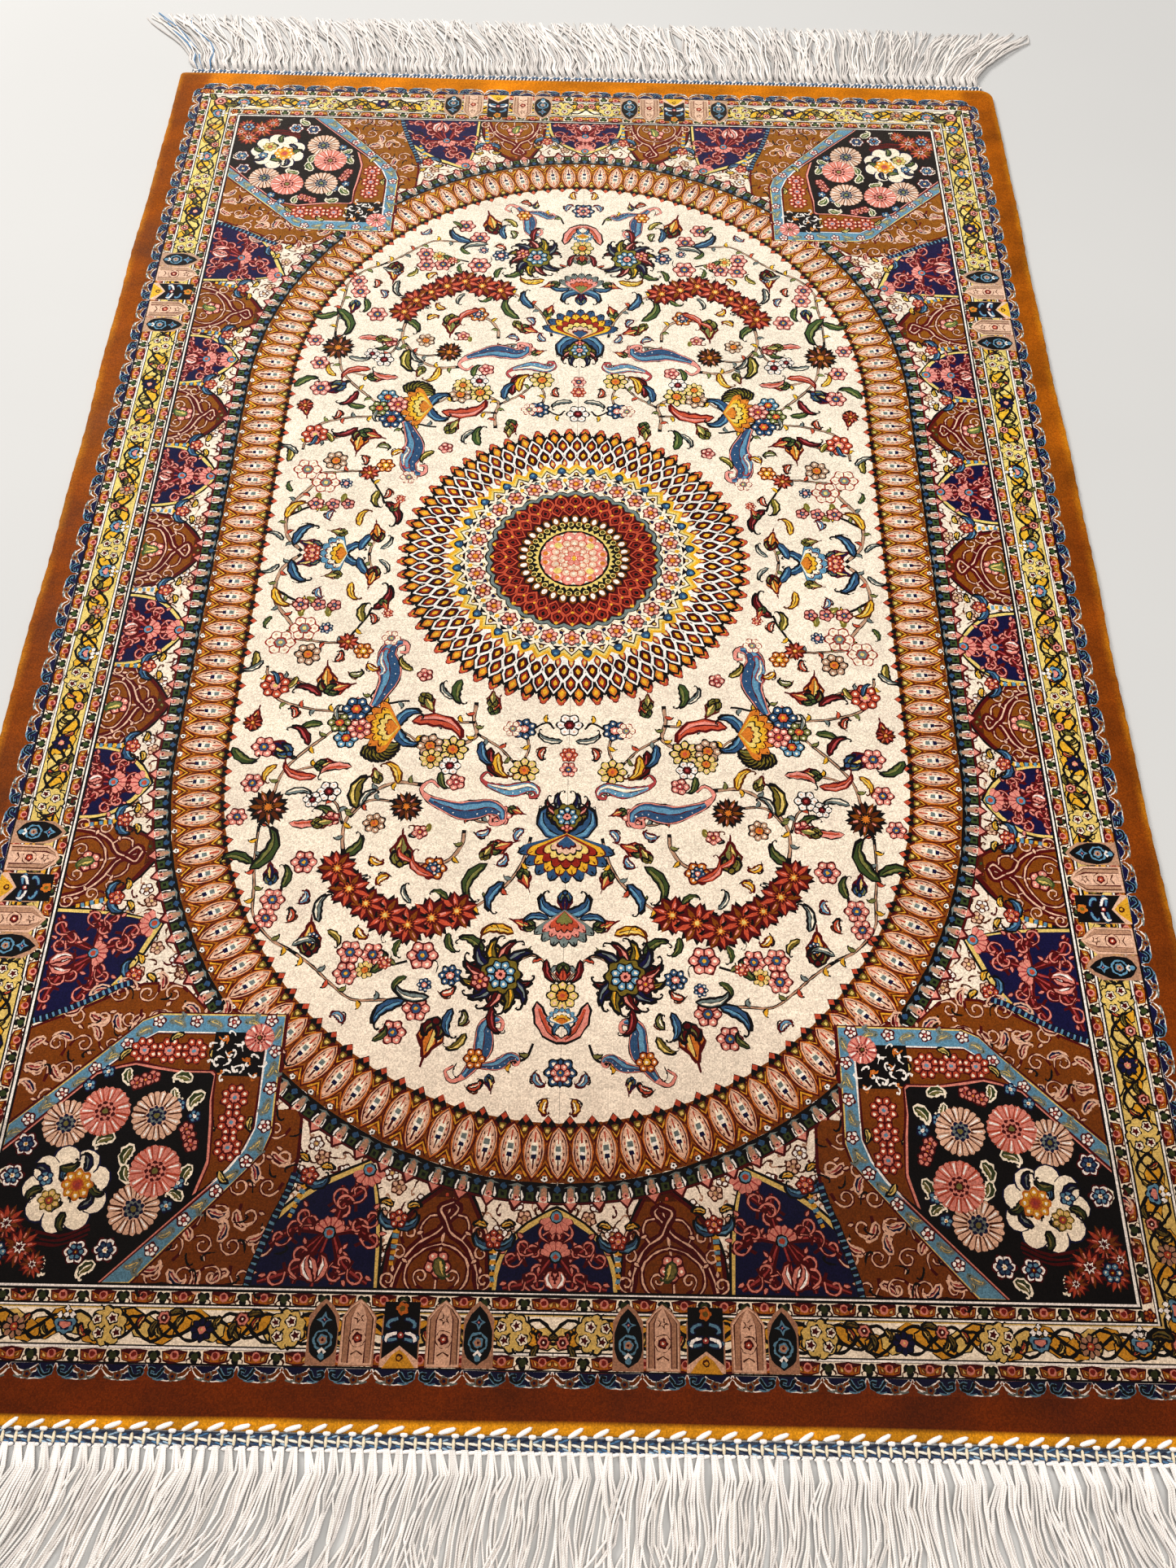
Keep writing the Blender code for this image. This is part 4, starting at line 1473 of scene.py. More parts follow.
def black_panel_flowers():
    """The bouquet on the corner's black panel."""
    for at, turn, size in PANEL_LEAVES:
        stamp(leaf(19, 9, 40, "green", "leaf", "cream"), at, turn, size)
    for at in (380 + 622j, 332 + 674j):
        for k in range(3):
            stamp(
                bloom(6, 5, "pink", "rose", "wine"),
                at + (k - 1) * (7 + 3j) * (1 if at.real > 350 else 1j),
            )
    for at in (345 + 645j, 330 + 655j, 430 + 628j, 415 + 615j, 335 + 715j, 342 + 735j):
        stamp(bloom(5.0, 5, "sky", "white", "navy"), at)
    for kind, across, along, size in PANEL_FLOWERS:
        tones = ("shell", "brown", "navy") if kind == "beige" else ("pink", "coral", "wine")
        stamp(daisy(23, *tones), complex(across, along), 0, size)
    for at, petal, heart in (
        (476 + 683j, "blue", "cream"), (388 + 773j, "blue", "cream"), (413 + 775j, "sky", "wine"),
        (482 + 711j, "sky", "cream"),
    ):
        stamp(bloom(10, 6, "white", petal, "wine"), at)
        stamp(bloom(6.4, 6, petal, heart, "navy"), at)
    for k in range(9):
        angle = TAU * k / 9
        stamp([(disc(12.5, 12), "navy"), (disc(11.2, 12), "cream")], 432 + 722j + 27 * np.exp(1j * angle))
    draw(disc(26, 18) + 432 + 722j, "cream")
    for k in range(11):
        at = 432 + 722j + 21 * np.exp(1j * TAU * k / 11)
        stamp(
            leaf(17, 5.5, 60, ("green", "navy", "blue")[k % 3], ("leaf", "steel", "sky")[k % 3]), at,
            137 * k,
        )
    stamp(bloom(13, 8, "yellow", "coral", "orange", "rose"), 423 + 718j)
    stamp(bloom(9, 7, "straw", "rose", "olive"), 445 + 732j)
    stamp(bloom(6, 5, "sky", "cream", "navy"), 452 + 713j)
    for k in range(3):
        draw(
            ribbon(smooth([405 + 752j + 4j * k, 430 + 762j + 4j * k, 462 + (756 + 5 * k) * 1j]), 2.2),
            "wine",
        )
    for at, size in (
        (478 + 752j, 1.0), (462 + 772j, 1.05), (484 + 778j, 0.85), (448 + 786j, 0.7), (490 + 765j, 0.7),
    ):
        stamp(ruffled(15, "coral", "wine", "cream", 13), at, 0, size)
        stamp([(star(5.5, 7, 0.5), "white"), (star(3.6, 7, 0.5), "wine")], at, 0, size)
    stamp(bloom(8, 6, "sky", "wine", "navy"), 481 + 776j)


# Small motifs in the gaps of the field

def in_field(at, margin):
    """Whether a place lies between the medallion and the chain."""
    past = complex(at.real / (349 - margin), max(0.0, at.imag - CHAIN_BEND) / (381 - margin))
    return abs(at) > 211 + margin and abs(past) < 1


def fill_gaps(first):
    """Adds small flowers, buds and curls where the field's motifs, from number first on, leave room."""
    generator = np.random.default_rng(5)
    taken = np.concatenate([points for points, _ in canvas[first:]])
    for room, count in ((12.5, 320), (9.0, 560)):
        spots = generator.random((count, 3))
        for across, along, chance in spots:
            at = complex(352 * across, 652 * along)
            if not in_field(at, room * 0.7) or np.min(np.abs(taken - at)) < room:
                continue
            turn = 360 * chance * 7 % 360
            pick = int(chance * 997) % 4
            if room > 12:
                tone = ("pink", "coral", "straw", "cream")[pick]
                motif = [
                    *moved(curl(30, 1.8, 50, 280, "brown"), 0, 140),
                    *moved(leaf(13, 5, 40, "leaf", "straw", "olive"), 0, 30),
                    *moved(leaf(11, 4, -40, "steel", "cream", "ink"), 0, 250),
                    *bloom(7.5, 5, tone, "rose" if tone != "coral" else "cream", "wine", "straw"),
                ]
            else:
                light = ("coral", "yellow", "leaf", "sky")[pick]
                motif = [
                    *moved(curl(30, 1.9, 30, 250, "ink" if pick % 2 else "brown"), -8, -20),
                    *moved(leaf(15, 5.6, 60, light, "cream", "wine" if pick % 2 else "ink"), -4, 20),
                ]
            stamp(motif, at, turn)
            taken = np.concatenate(
                [taken, *[at + np.exp(1j * np.radians(turn)) * points for points, _ in motif]]
            )


# The quarter

def wander(points):
    """Moves places a little, all layers alike, so that the outlines look knotted by hand."""
    x, y = points.real, points.imag
    fade = np.clip(np.minimum(FIELD_X + BORDER - 3 - x, FIELD_Y + BORDER - 3 - y) / 3, 0, 1)
    drift = 0.30 * np.sin(1.9 * x + 0.8 * y) + 0.22 * np.sin(2.7 * y - 1.1 * x + 2)
    drift = drift + 1j * (0.30 * np.sin(2.1 * y - 0.6 * x + 1) + 0.22 * np.sin(1.4 * x + 2.4 * y))
    return points + fade * drift


def quarter(out):
    """The quarter's outline, out to a distance from the field."""
    return np.array([0, FIELD_X + out, FIELD_X + out + 1j * (FIELD_Y + out), 1j * (FIELD_Y + out)])


def paint():
    """Draws the whole quarter, from the border in to the medallion."""
    canvas.clear()
    draw(quarter(BORDER), "plain")
    edging()
    draw(quarter(60.4), "ink")
    draw(quarter(0), "ivory")
    guard(3.4, 13.8)
    main_border()
    guard(50, 60)
    plaques()
    line_pair(-2.4, 3.4)
    swirls()
    for side, tone, low, high, apex, depth in ARCHES:
        arch(side, tone, low, high, apex, depth)
    chain()
    for across, along, turn in JOINTS:
        stamp(joint_flower(), complex(across, along), turn)
    corner()
    line_pair(-2.4, 3.4)
    first = len(canvas)
    for width, *knots in STEMS:
        vine(1.4 * width, *knots)
    for name, across, along, turn, size in FIELD:
        stamp(MOTIFS[name], complex(across, along), turn, size * GROWN.get(name, 1.12))
    for name, along, turn, size in AXIS:
        stamp(MOTIFS[name], complex(0, along), turn, size)
    fill_gaps(first)
    medallion()
    canvas[:] = [(wander(points), tone) for points, tone in canvas]


# Triangulation

STRIP_EDGES = (0.0, 220.0, 440.0, 660.0, FIELD_Y + BORDER)
TILE_EDGES = (0.0, 150.0, 300.0, 430.0, FIELD_X + BORDER)
MERGE = 1e-4
ON_AXIS = 1e-3
STRAIGHT = 0.26  # how far a point may lie off the line between its neighbours and be left out


def shapes_in(shapes, low, high):
    """Indices of the shapes whose box meets a rectangle given by two corners."""
    return [
        k for k, (points, _) in enumerate(shapes)
        if points.real.min() < high.real and points.real.max() > low.real
        and points.imag.min() < high.imag and points.imag.max() > low.imag
    ]


def outside_last(points):
    """The same loop, ending at its lowest point with its inside on the left, even where it crosses itself."""
    loop = np.roll(points, -1 - int(np.lexsort((points.real, points.imag))[0]))
    before, after = loop[-1] - loop[-2], loop[0] - loop[-1]
    return loop if (np.conj(before) * after).imag > 0 else np.append(loop[-2::-1], loop[-1])


def tile_triangles(shapes, low, high):
    """Triangles inside one rectangle: their corners, and the tone of the topmost shape on each."""
    corners, faces, tones = [], [], []
    for k in shapes_in(shapes, low, high):
        points, tone = shapes[k]
        loop = outside_last(points)
        faces.append(list(range(len(corners), len(corners) + len(loop))))
        corners.extend(Vector((z.real, z.imag)) for z in loop.tolist())
        tones.append(tone)
    faces.append(list(range(len(corners), len(corners) + 4)))
    corners += [
        Vector(c)
        for c in (
            (low.real, low.imag), (high.real, low.imag), (high.real, high.imag), (low.real, high.imag),
        )
    ]
    places, _, triangles, _, _, owners = delaunay_2d_cdt(corners, [], faces, 1, MERGE, True)
    places = np.array([complex(*place) for place in places])
    tile = len(faces) - 1
    kept, tone_of = [], []
    for triangle, owner in zip(triangles, owners):
        if tile in owner:
            top = max((k for k in owner if k != tile), default=-1)
            if top >= 0:
                kept.append(triangle)
                tone_of.append(tones[top])
    return places[np.array(kept)], tone_of


def merged(corner_places):
    """Welds equal points: unique places, and for each corner the index of its place."""
    keys = np.round(np.stack([corner_places.real, corner_places.imag], -1) / (5 * MERGE)).astype(np.int64)
    _, first, index = np.unique(keys.reshape(-1, 2), axis=0, return_index=True, return_inverse=True)
    return corner_places.ravel()[first], index.reshape(corner_places.shape)


def tone_edges(triangles, tones):
    """Edges with a different tone on each side, or with nothing on one side."""
    pairs = np.concatenate([triangles[:, [0, 1]], triangles[:, [1, 2]], triangles[:, [2, 0]]])
    owner = np.tile(tones, 3)
    pairs.sort(axis=1)
    order = np.lexsort((pairs[:, 1], pairs[:, 0]))
    pairs, owner = pairs[order], owner[order]
    same = np.zeros(len(pairs), bool)
    twin = (pairs[1:] == pairs[:-1]).all(axis=1)
    equal = twin & (owner[1:] == owner[:-1])
    same[1:] |= equal
    same[:-1] |= equal
    return np.unique(pairs[~same], axis=0)


def simplified(places, pairs):
    """The same lines with fewer points: those that lie almost straight between two others go."""
    near = {}
    for a, b in pairs.tolist():
        near.setdefault(a, set()).add(b)
        near.setdefault(b, set()).add(a)
    spots = places.tolist()
    moved_on = True
    drift = {}
    while moved_on:
        moved_on = False
        for middle in list(near):
            beside = near[middle]
            if len(beside) != 2:
                continue
            a, b = beside
            if b in near[a]:
                continue
            line = spots[b] - spots[a]
            off = abs(((spots[middle] - spots[a]) * line.conjugate()).imag) / max(abs(line), 1e-9)
            off += max(drift.get((a, middle), 0.0), drift.get((middle, a), 0.0))
            off = max(off, drift.get((b, middle), 0.0), drift.get((middle, b), 0.0))
            if off < STRAIGHT:
                near[a].discard(middle)
                near[b].discard(middle)
                near[a].add(b)
                near[b].add(a)
                drift[(a, b)] = drift[(b, a)] = off
                del near[middle]
                moved_on = True
    return np.array([(a, b) for a in near for b in near[a] if a < b])


def strip_mesh(shapes, low, high):
    """One strip of the quarter: places, triangles and a tone number for each triangle."""
    names = sorted(TONES)
    corners, tones = [], []
    for left, right in zip(TILE_EDGES, TILE_EDGES[1:]):
        tile_corners, tile_tones = tile_triangles(shapes, complex(left, low), complex(right, high))
        corners.append(tile_corners)
        tones += [names.index(tone) for tone in tile_tones]
    tones = np.array(tones)
    places, triangles = merged(np.concatenate(corners))
    a, b, c = triangles.T
    whole = (a != b) & (b != c) & (c != a)
    triangles, tones = triangles[whole], tones[whole]
    lines = simplified(places, tone_edges(triangles, tones))
    used, lines = np.unique(lines, return_inverse=True)
    lines = lines.reshape(-1, 2)
    rough = BVHTree.FromPolygons([(z.real, z.imag, 0.0) for z in places.tolist()], triangles.tolist())
    points = [Vector((z.real, z.imag)) for z in places[used].tolist()]
    fine, _, cut, _, _, _ = delaunay_2d_cdt(points, lines.tolist(), [], 0, MERGE, False)
    fine = np.array([complex(*place) for place in fine])
    cut = np.array(cut)
    middles = fine[cut].mean(axis=1)
    found = [
        rough.ray_cast(Vector((z.real, z.imag, 1.0)), Vector((0, 0, -1)))[2] for z in middles.tolist()
    ]
    inside = np.array([k is not None for k in found])
    tone_numbers = tones[np.array([k if k is not None else 0 for k in found])]
    return fine, cut[inside], tone_numbers[inside]


# Sizes in metres

PATTERN_SHIFT = 0.005  # the pattern's centre lies this far from the rug's, towards the far end
PILE_TOP = 0.005
PILE_STEP = 0.0004
SIDE_WAVES = ((0.0010, 0.62, 0.4), (0.0006, 0.21, 1.9), (0.0003, 0.031, 0.7), (0.0003, 0.0187, 2.1))
END_WAVES = ((0.0005, 0.80, 0.2), (0.0003, 0.27, 1.1))
HALF_WIDTH, HALF_LENGTH = 0.5985, 0.907
EDGE_FADE = 6.0
CORNER_RADIUS, WORN_CORNER_RADIUS = 0.005, 0.018


def new_mesh(name, places, faces):
    """A mesh from arrays, all its faces with the same number of corners."""
    mesh = bpy.data.meshes.new(name)
    places = np.asarray(places, np.float32)
    faces = np.asarray(faces, np.int32)
    mesh.vertices.add(len(places))
    mesh.vertices.foreach_set("co", places.ravel())
    size = faces.shape[1]
    mesh.loops.add(faces.size)
    mesh.loops.foreach_set("vertex_index", faces.ravel())
    mesh.polygons.add(len(faces))
    mesh.polygons.foreach_set("loop_start", np.arange(0, faces.size, size, dtype=np.int32))
    mesh.update(calc_edges=True)
    return mesh


def new_piece(name, mesh, material):
    """A visible piece in the scene, riding the rug."""
    piece = bpy.data.objects.new(name, mesh)
    bpy.context.scene.collection.objects.link(piece)
    mesh.materials.append(material)
    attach(piece, "root")
    return piece


def color_corners(mesh, colors, name="tone"):
    """Writes a colour for each face corner, given as sRGB from 0 to 255."""
    layer = mesh.color_attributes.new(name, "BYTE_COLOR", "CORNER")
    rgba = np.ones((len(colors), 4), np.float32)
    rgba[:, :3] = np.asarray(colors, np.float32) / 255
    layer.data.foreach_set("color_srgb", rgba.ravel())


def map_corners(mesh, places, name="OFBake"):
    """Writes a map place for each face corner."""
    layer = mesh.uv_layers.new(name=name)
    layer.data.foreach_set("uv", np.asarray(places, np.float32).ravel())


# Pile

# Painted shade: what the near end and its last rows lose of red, green and blue; painted sheen: what the far
# end pales towards
NEAR_PAINTED_SHADE, EDGE_PAINTED_SHADE = np.array([0.16, 0.34, 0.44]), np.array([0.30, 0.36, 0.40])
FAR_PAINTED_SHEEN = np.array([255, 226, 190])


def painted_nap_light(tones, y):
    """Painted light from the silk's nap: painted shade makes tones deeper and redder towards the near end,
    where the pile leans away, and deeper still on the last rows by the near edge; a painted sheen pales the
    far end. The palest change least.
    """
    near = np.clip((0.25 - y) / 1.1, 0, 1)[:, None]
    pale = (tones.mean(axis=1, keepdims=True) / 255) ** 2
    far = np.clip((y - 0.2) / 0.7, 0, 1)[:, None]
    warm = (tones[:, :1] > tones[:, 2:]) * 0.75 + 0.25
    deep = tones * (1 - near * (1 - pale) * warm * NEAR_PAINTED_SHADE)
    shaded = np.clip((-y - 0.52) / 0.22, 0, 1)[:, None]
    deep = deep * (1 - shaded * (1 - 0.62 * pale) * EDGE_PAINTED_SHADE)
    return deep + far * (1 - pale) * 0.15 * (FAR_PAINTED_SHEEN - deep)


def pile_strips(material):
    """The patterned pile: each strip of the quarter, mirrored across the rug and then to the other end."""
    names = sorted(TONES)
    palette = np.array([TONES[name] for name in names], float)
    strips = []
    for number, (low, high) in enumerate(zip(STRIP_EDGES, STRIP_EDGES[1:])):
        fine, cut, tones = strip_mesh(canvas, low, high)
        middle = np.abs(fine.real) < ON_AXIS
        whole = ~middle[cut].all(axis=1)  # a triangle with all its corners on the mirror line has no area
        cut, tones = cut[whole], tones[whole]
        twin = np.where(middle, np.arange(len(fine)), len(fine) + np.cumsum(~middle) - 1)
        x = np.concatenate([fine.real, -fine.real[~middle]]) / 1000
        y = np.concatenate([fine.imag, fine.imag[~middle]]) / 1000
        both = np.concatenate([cut, twin[cut][:, ::-1]])
        flat = palette[np.concatenate([tones, tones])]
        plain = np.repeat(np.concatenate([tones, tones]) == names.index("plain"), 3)
        share = (y - low / 1000) / ((high - low) / 1000)
        across = np.abs(x) / ((FIELD_X + BORDER) / 1000)
        row = np.repeat(np.arange(2), 3 * len(cut))
        corners = both.ravel()
        mapped = np.stack([across[corners], (share[corners] * 0.996 + 0.002 + row) / 2], -1)
        for end, sign in (("far", 1), ("near", -1)):
            faces = both if sign > 0 else both[:, ::-1]
            order = slice(None) if sign > 0 else np.arange(len(both) * 3).reshape(-1, 3)[:, ::-1].ravel()
            places = np.stack([x, sign * y + PATTERN_SHIFT, np.full(len(x), PILE_TOP)], -1)
            mesh = new_mesh(f"pile_{end}_{number}", places, faces)
            middle_y = sign * y[both].mean(axis=1) + PATTERN_SHIFT
            # The tones get painted shade towards the near end and a painted sheen towards the far end; the
            # margin's ground gets the margin's own painted light
            colors = np.repeat(painted_nap_light(flat, middle_y), 3, axis=0)
            spots = places[corners[plain]]
            colors[plain] = margin_tone_painted_light(spots[:, 0], spots[:, 1], np.ones(len(spots)))
            color_corners(mesh, colors[order])
            map_corners(mesh, mapped[order])
            strips.append(new_piece(mesh.name, mesh, material))
    return strips


def edge_wave(waves, place, half):
    """How far the rug's edge swings out at a place."""
    swing = sum(depth * np.sin(2 * np.pi * place / length + phase) for depth, length, phase in waves)
    return swing * np.minimum(1, EDGE_FADE * (1 - np.abs(place) / half))


def rim_loop(steps_across=210, steps_along=320):
    """The rug's outline, anticlockwise from the near left, and the same points on the pattern's edge."""
    outer, inner = [], []
    half_x, half_y = (FIELD_X + BORDER) / 1000, (FIELD_Y + BORDER) / 1000
    low_y, high_y = PATTERN_SHIFT - half_y, PATTERN_SHIFT + half_y
    sides = (
        (0, -1, steps_across), (1, 0, steps_along), (0, 1, steps_across), (-1, 0, steps_along),
    )
    for way_x, way_y, steps in sides:
        for step in range(steps):
            t = 2 * step / steps - 1
            if way_x:
                place = way_x * t * HALF_LENGTH
                x, y = way_x * HALF_WIDTH + edge_wave(SIDE_WAVES, place, HALF_LENGTH), place
                inner.append((way_x * half_x, low_y + (high_y - low_y) * (way_x * t + 1) / 2))
            else:
                place = -way_y * t * HALF_WIDTH
                x, y = place, way_y * HALF_LENGTH + edge_wave(END_WAVES, place, HALF_WIDTH)
                inner.append((-way_y * t * half_x, low_y if way_y < 0 else high_y))
            radius = WORN_CORNER_RADIUS if x > 0 and y > 0 else CORNER_RADIUS
            past_x, past_y = abs(x) - (HALF_WIDTH - radius), abs(y) - (HALF_LENGTH - radius)
            if past_x > 0 and past_y > 0:
                angle = math.atan2(past_y, past_x)
                x = math.copysign(HALF_WIDTH - radius + radius * math.cos(angle), x)
                y = math.copysign(HALF_LENGTH - radius + radius * math.sin(angle), y)
            outer.append((x, y))
    return np.array(outer), np.array(inner)


def margin_tone_painted_light(x, y, inward):
    """The plain margin's gold, from where it lies, with painted light: a painted sheen makes it bright at the
    far end and painted shade turns it rust towards the near one.
    """
    far = np.clip((y - 0.02) / 0.30, 0, 1)
    far = (far * far * (3 - 2 * far))[:, None]
    near = np.clip((-y - 0.30) / 0.55, 0, 1)[:, None]
    bright, rust, dark, gold = (np.array(tone, float) for tone in MARGIN_SHEEN_AND_SHADE_TONES)
    # Painted sheen towards the far end, painted shade towards the near end
    tone = rust + far * (bright - rust)
    tone += near * (dark - tone)
    beside = np.clip((np.abs(x) - 0.548) / 0.01, 0, 1) * np.clip((0.99 - y) / 0.12, 0, 1)
    tone *= 1 - far * beside[:, None] * SIDE_LOSS * np.where(x < 0, 1.28, 0.96)[:, None]
    mottle = np.sin(37 * y + 21 * x) * np.sin(53 * x - 31 * y + 1) + 0.6 * np.sin(113 * y - 71 * x)
    tone *= 1 + 0.06 * mottle[:, None]
    rim = np.clip(1.6 - inward / 0.006, 0, 1)[:, None] * (0.45 + 0.2 * np.sin(y * 61 + 3 * x)[:, None])
    tone += rim * (gold - tone)
    end = ((y < -0.85) & (inward < 0.0080))[:, None]
    return np.where(end, gold, tone)


# The margin's tones: bright, its painted sheen at the far end; rust; dark, its painted shade at the near end;
# gold, for its edge
MARGIN_SHEEN_AND_SHADE_TONES = ((206, 118, 10), (126, 56, 4), (88, 30, 2), (206, 132, 18))
SIDE_LOSS = np.array([0.27, 0.36, 0.60])  # what the long sides lose of red, green and blue


def margin(material):
    """The plain gold border round the pattern, with its rounded pile edge."""
    outer, inner = rim_loop()
    count = len(outer)
    toward = inner - outer
    depth = np.linalg.norm(toward, axis=1)
    # Rows: distance in from the outline, height
    edge_rows = (
        (0.0006, 0.0002), (0.0, 0.0012), (0.0, 0.0032), (0.0005, 0.0043), (0.0015, 0.0049),
        (0.003, 0.005), (0.0070, 0.005), (0.0112, 0.005),
    )
    rows, heights, insets = [], [], []
    for inset, height in edge_rows:
        rows.append(outer + toward / depth[:, None] * inset)
        heights.append(np.full(count, height))
        insets.append(np.full(count, inset))
    for share in (0.25, 0.5, 0.75, 1.0):
        start = 0.0112 / depth
        along = start + (1 - start) * share
        rows.append(outer + toward * along[:, None])
        heights.append(np.full(count, PILE_TOP))
        insets.append(depth * along)
    places = np.concatenate([np.column_stack([row, height]) for row, height in zip(rows, heights)])
    inset = np.concatenate(insets)
    index = np.arange(count)
    ahead = (index + 1) % count
    faces = np.concatenate([
        np.stack(
            [r * count + index, r * count + ahead, (r + 1) * count + ahead, (r + 1) * count + index], -1,
        )
        for r in range(len(rows) - 1)
    ])
    mesh = new_mesh("pile_margin", places, faces)
    # The margin's tones carry its painted sheen and painted shade
    tones = margin_tone_painted_light(places[:, 0], places[:, 1], inset)
    color_corners(mesh, tones[faces.ravel()])
    mesh.shade_smooth()
    return new_piece("pile_margin", mesh, material)


def ground(material):
    """The woven ground under the pile: one closed slab with the rug's outline."""
    outer, inner = rim_loop(60, 90)
    toward = inner - outer
    outline = outer + toward / np.linalg.norm(toward, axis=1)[:, None] * 0.0009
    count = len(outline)
    top, bottom = PILE_TOP - PILE_STEP, 0.0001
    places = np.concatenate([
        np.column_stack([outline, np.full(count, bottom)]),
        np.column_stack([outline, np.full(count, top)]),
    ])
    mesh = bpy.data.meshes.new("rug_ground")
    index = list(range(count))
    walls = [(k, (k + 1) % count, count + (k + 1) % count, count + k) for k in index]
    mesh.from_pydata(places.tolist(), [], [index[::-1], [count + k for k in index], *walls])
    mesh.update()
    return new_piece("rug_ground", mesh, material)


# Braid and fringe

BRAID_INNER = HALF_LENGTH + 0.0003 + 0.0008
BRAID_HALF_LENGTH, BRAID_WIDTH = 0.584, 0.012
FRINGE_REACH = 0.1427
STRAND_SIDES, STRAND_STEPS = 5, 10
YARN_WHITE = (253, 244, 236)
YARN_BLUE = (96, 138, 176)
NEAR_SWEEP = (
    (-1.00, -0.092), (-0.75, -0.062), (-0.35, -0.046), (0.00, -0.016), (0.45, 0.000), (0.75, 0.034),
    (1.00, 0.092),
)
FAR_SWEEP = (
    (-1.00, -0.092), (-0.86, -0.044), (-0.30, -0.046), (0.25, -0.038), (0.60, -0.012), (0.86, 0.034),
    (1.00, 0.092),
)

ROOT_UNDER_BRAID = 0.002
FRINGE_HALF = 0.6742
LAYER_RISE, ROOT_RISE = 0.0042, 0.0016
FULL_TURN = 6.28
STRAND_WAVES = ((1.0, 0.0034), (2.1, 0.0016))  # half waves along a strand, depth
BLUE_TUFTS_BELOW = -0.965  # the far fringe's tufts left of this share of its half length have blue strands
FAR_FRINGE = {
    "out": 1, "tufts": 122, "strands": 5, "thick": 0.00126, "sweeps": FAR_SWEEP, "tuft_sway": 0.007,
    "strand_sway": 0.0120, "lock_swing": 0.0045, "lean": -0.0035, "rise": 0.0020, "dimmest": 0.70,
}
NEAR_FRINGE = {
    "out": -1, "tufts": 110, "strands": 6, "thick": 0.00106, "sweeps": NEAR_SWEEP, "tuft_sway": 0.003,
    "strand_sway": 0.0085, "lock_swing": 0.0055, "lean": 0.0030, "rise": 0.0034, "dimmest": 0.86,
}


def tubes(name, paths, radius, colors, material):
    """Many thin tubes in one mesh. paths: strand, step, xyz; radius: strand, step."""
    count, steps, _ = paths.shape
    way = np.gradient(paths, axis=1)
    way /= np.linalg.norm(way, axis=2, keepdims=True)
    side = np.cross(way, np.array([0.0, 0.0, 1.0]))
    side /= np.maximum(np.linalg.norm(side, axis=2, keepdims=True), 1e-9)
    up = np.cross(side, way)
    angle = 2 * np.pi * np.arange(STRAND_SIDES) / STRAND_SIDES
    ring = side[:, :, None] * np.cos(angle)[:, None] + up[:, :, None] * np.sin(angle)[:, None]
    places = (paths[:, :, None] + ring * radius[:, :, None, None]).reshape(-1, 3)
    strand, step, corner = np.meshgrid(
        np.arange(count), np.arange(steps - 1), np.arange(STRAND_SIDES), indexing="ij",
    )
    beside = (corner + 1) % STRAND_SIDES

    def index(strands, stations, spots):
        return (strands * steps + stations) * STRAND_SIDES + spots

    faces = np.stack([
        index(strand, step + 1, corner), index(strand, step + 1, beside),
        index(strand, step, beside), index(strand, step, corner),
    ], -1).reshape(-1, 4)
    ends = []
    for number in range(count):
        ends.append([index(number, 0, c) for c in range(STRAND_SIDES)])
        ends.append([index(number, steps - 1, c) for c in reversed(range(STRAND_SIDES))])
    mesh = new_mesh_mixed(name, places, faces, np.array(ends))
    # A cell of the square for each strand
    columns = int(math.ceil(math.sqrt(count)))
    around = np.stack([corner, corner + 1, corner + 1, corner], -1) / STRAND_SIDES
    cells_u = (strand % columns)[..., None] + 0.9 * around
    cells_v = (strand // columns)[..., None] + 0.04 + 0.86 * np.stack(
        [step, step, step + 1, step + 1], -1,
    ) / (steps - 1)
    mapped = np.stack([cells_u, cells_v], -1).reshape(-1, 4, 2)[:, ::-1].reshape(-1, 2) / columns
    cap_u = (np.arange(count) % columns)[:, None, None] + 0.94 + 0.03 * np.cos(angle)
    cap_v = (np.arange(count) // columns)[:, None, None] + np.array([0.04, 0.9])[:, None]
    cap_v = cap_v + 0.03 * np.sin(angle)
    caps = np.stack(np.broadcast_arrays(cap_u, cap_v), -1)
    caps[:, 1] = caps[:, 1, ::-1]
    map_corners(mesh, np.concatenate([mapped, caps.reshape(-1, 2) / columns]))
    tone = np.asarray(colors, float)
    color_corners(mesh, np.concatenate([
        np.repeat(tone, (steps - 1) * STRAND_SIDES * 4, axis=0),
        np.repeat(tone, 2 * STRAND_SIDES, axis=0)]))
    # Twist: turns round the strand and metres along it
    run = np.concatenate(
        [np.zeros((count, 1)), np.cumsum(np.linalg.norm(np.diff(paths, axis=1), axis=2), axis=1)], axis=1,
    )
    along = np.stack(
        [run[strand, step], run[strand, step], run[strand, step + 1], run[strand, step + 1]], -1,
    )
    twist = np.stack([around, along * 1000], -1).reshape(-1, 4, 2)[:, ::-1].reshape(-1, 2)
    map_corners(mesh, np.concatenate([twist, np.zeros((count * 2 * STRAND_SIDES, 2))]), "twist")
    mesh.shade_smooth()
    return new_piece(name, mesh, material)


def new_mesh_mixed(name, places, quads, caps):
    """A mesh of four-sided faces and caps."""
    mesh = bpy.data.meshes.new(name)
    mesh.vertices.add(len(places))
    mesh.vertices.foreach_set("co", np.asarray(places, np.float32).ravel())
    corners = np.concatenate([quads.ravel(), caps.ravel()]).astype(np.int32)
    mesh.loops.add(len(corners))
    mesh.loops.foreach_set("vertex_index", corners)
    starts = np.concatenate([
        np.arange(len(quads)) * 4, quads.size + np.arange(len(caps)) * caps.shape[1],
    ]).astype(np.int32)
    mesh.polygons.add(len(starts))
    mesh.polygons.foreach_set("loop_start", starts)
    mesh.update(calc_edges=True)
    return mesh


def strand_noise(generator, count, share):
    """Each strand's own slow waves across its length."""
    swing = 0
    for waves, depth in STRAND_WAVES:
        phase = generator.random(count)[:, None] * FULL_TURN
        wave = np.sin(waves * np.pi * share + phase) * share
        swing = swing + depth * generator.normal(0, 1, count)[:, None] * wave
    return swing


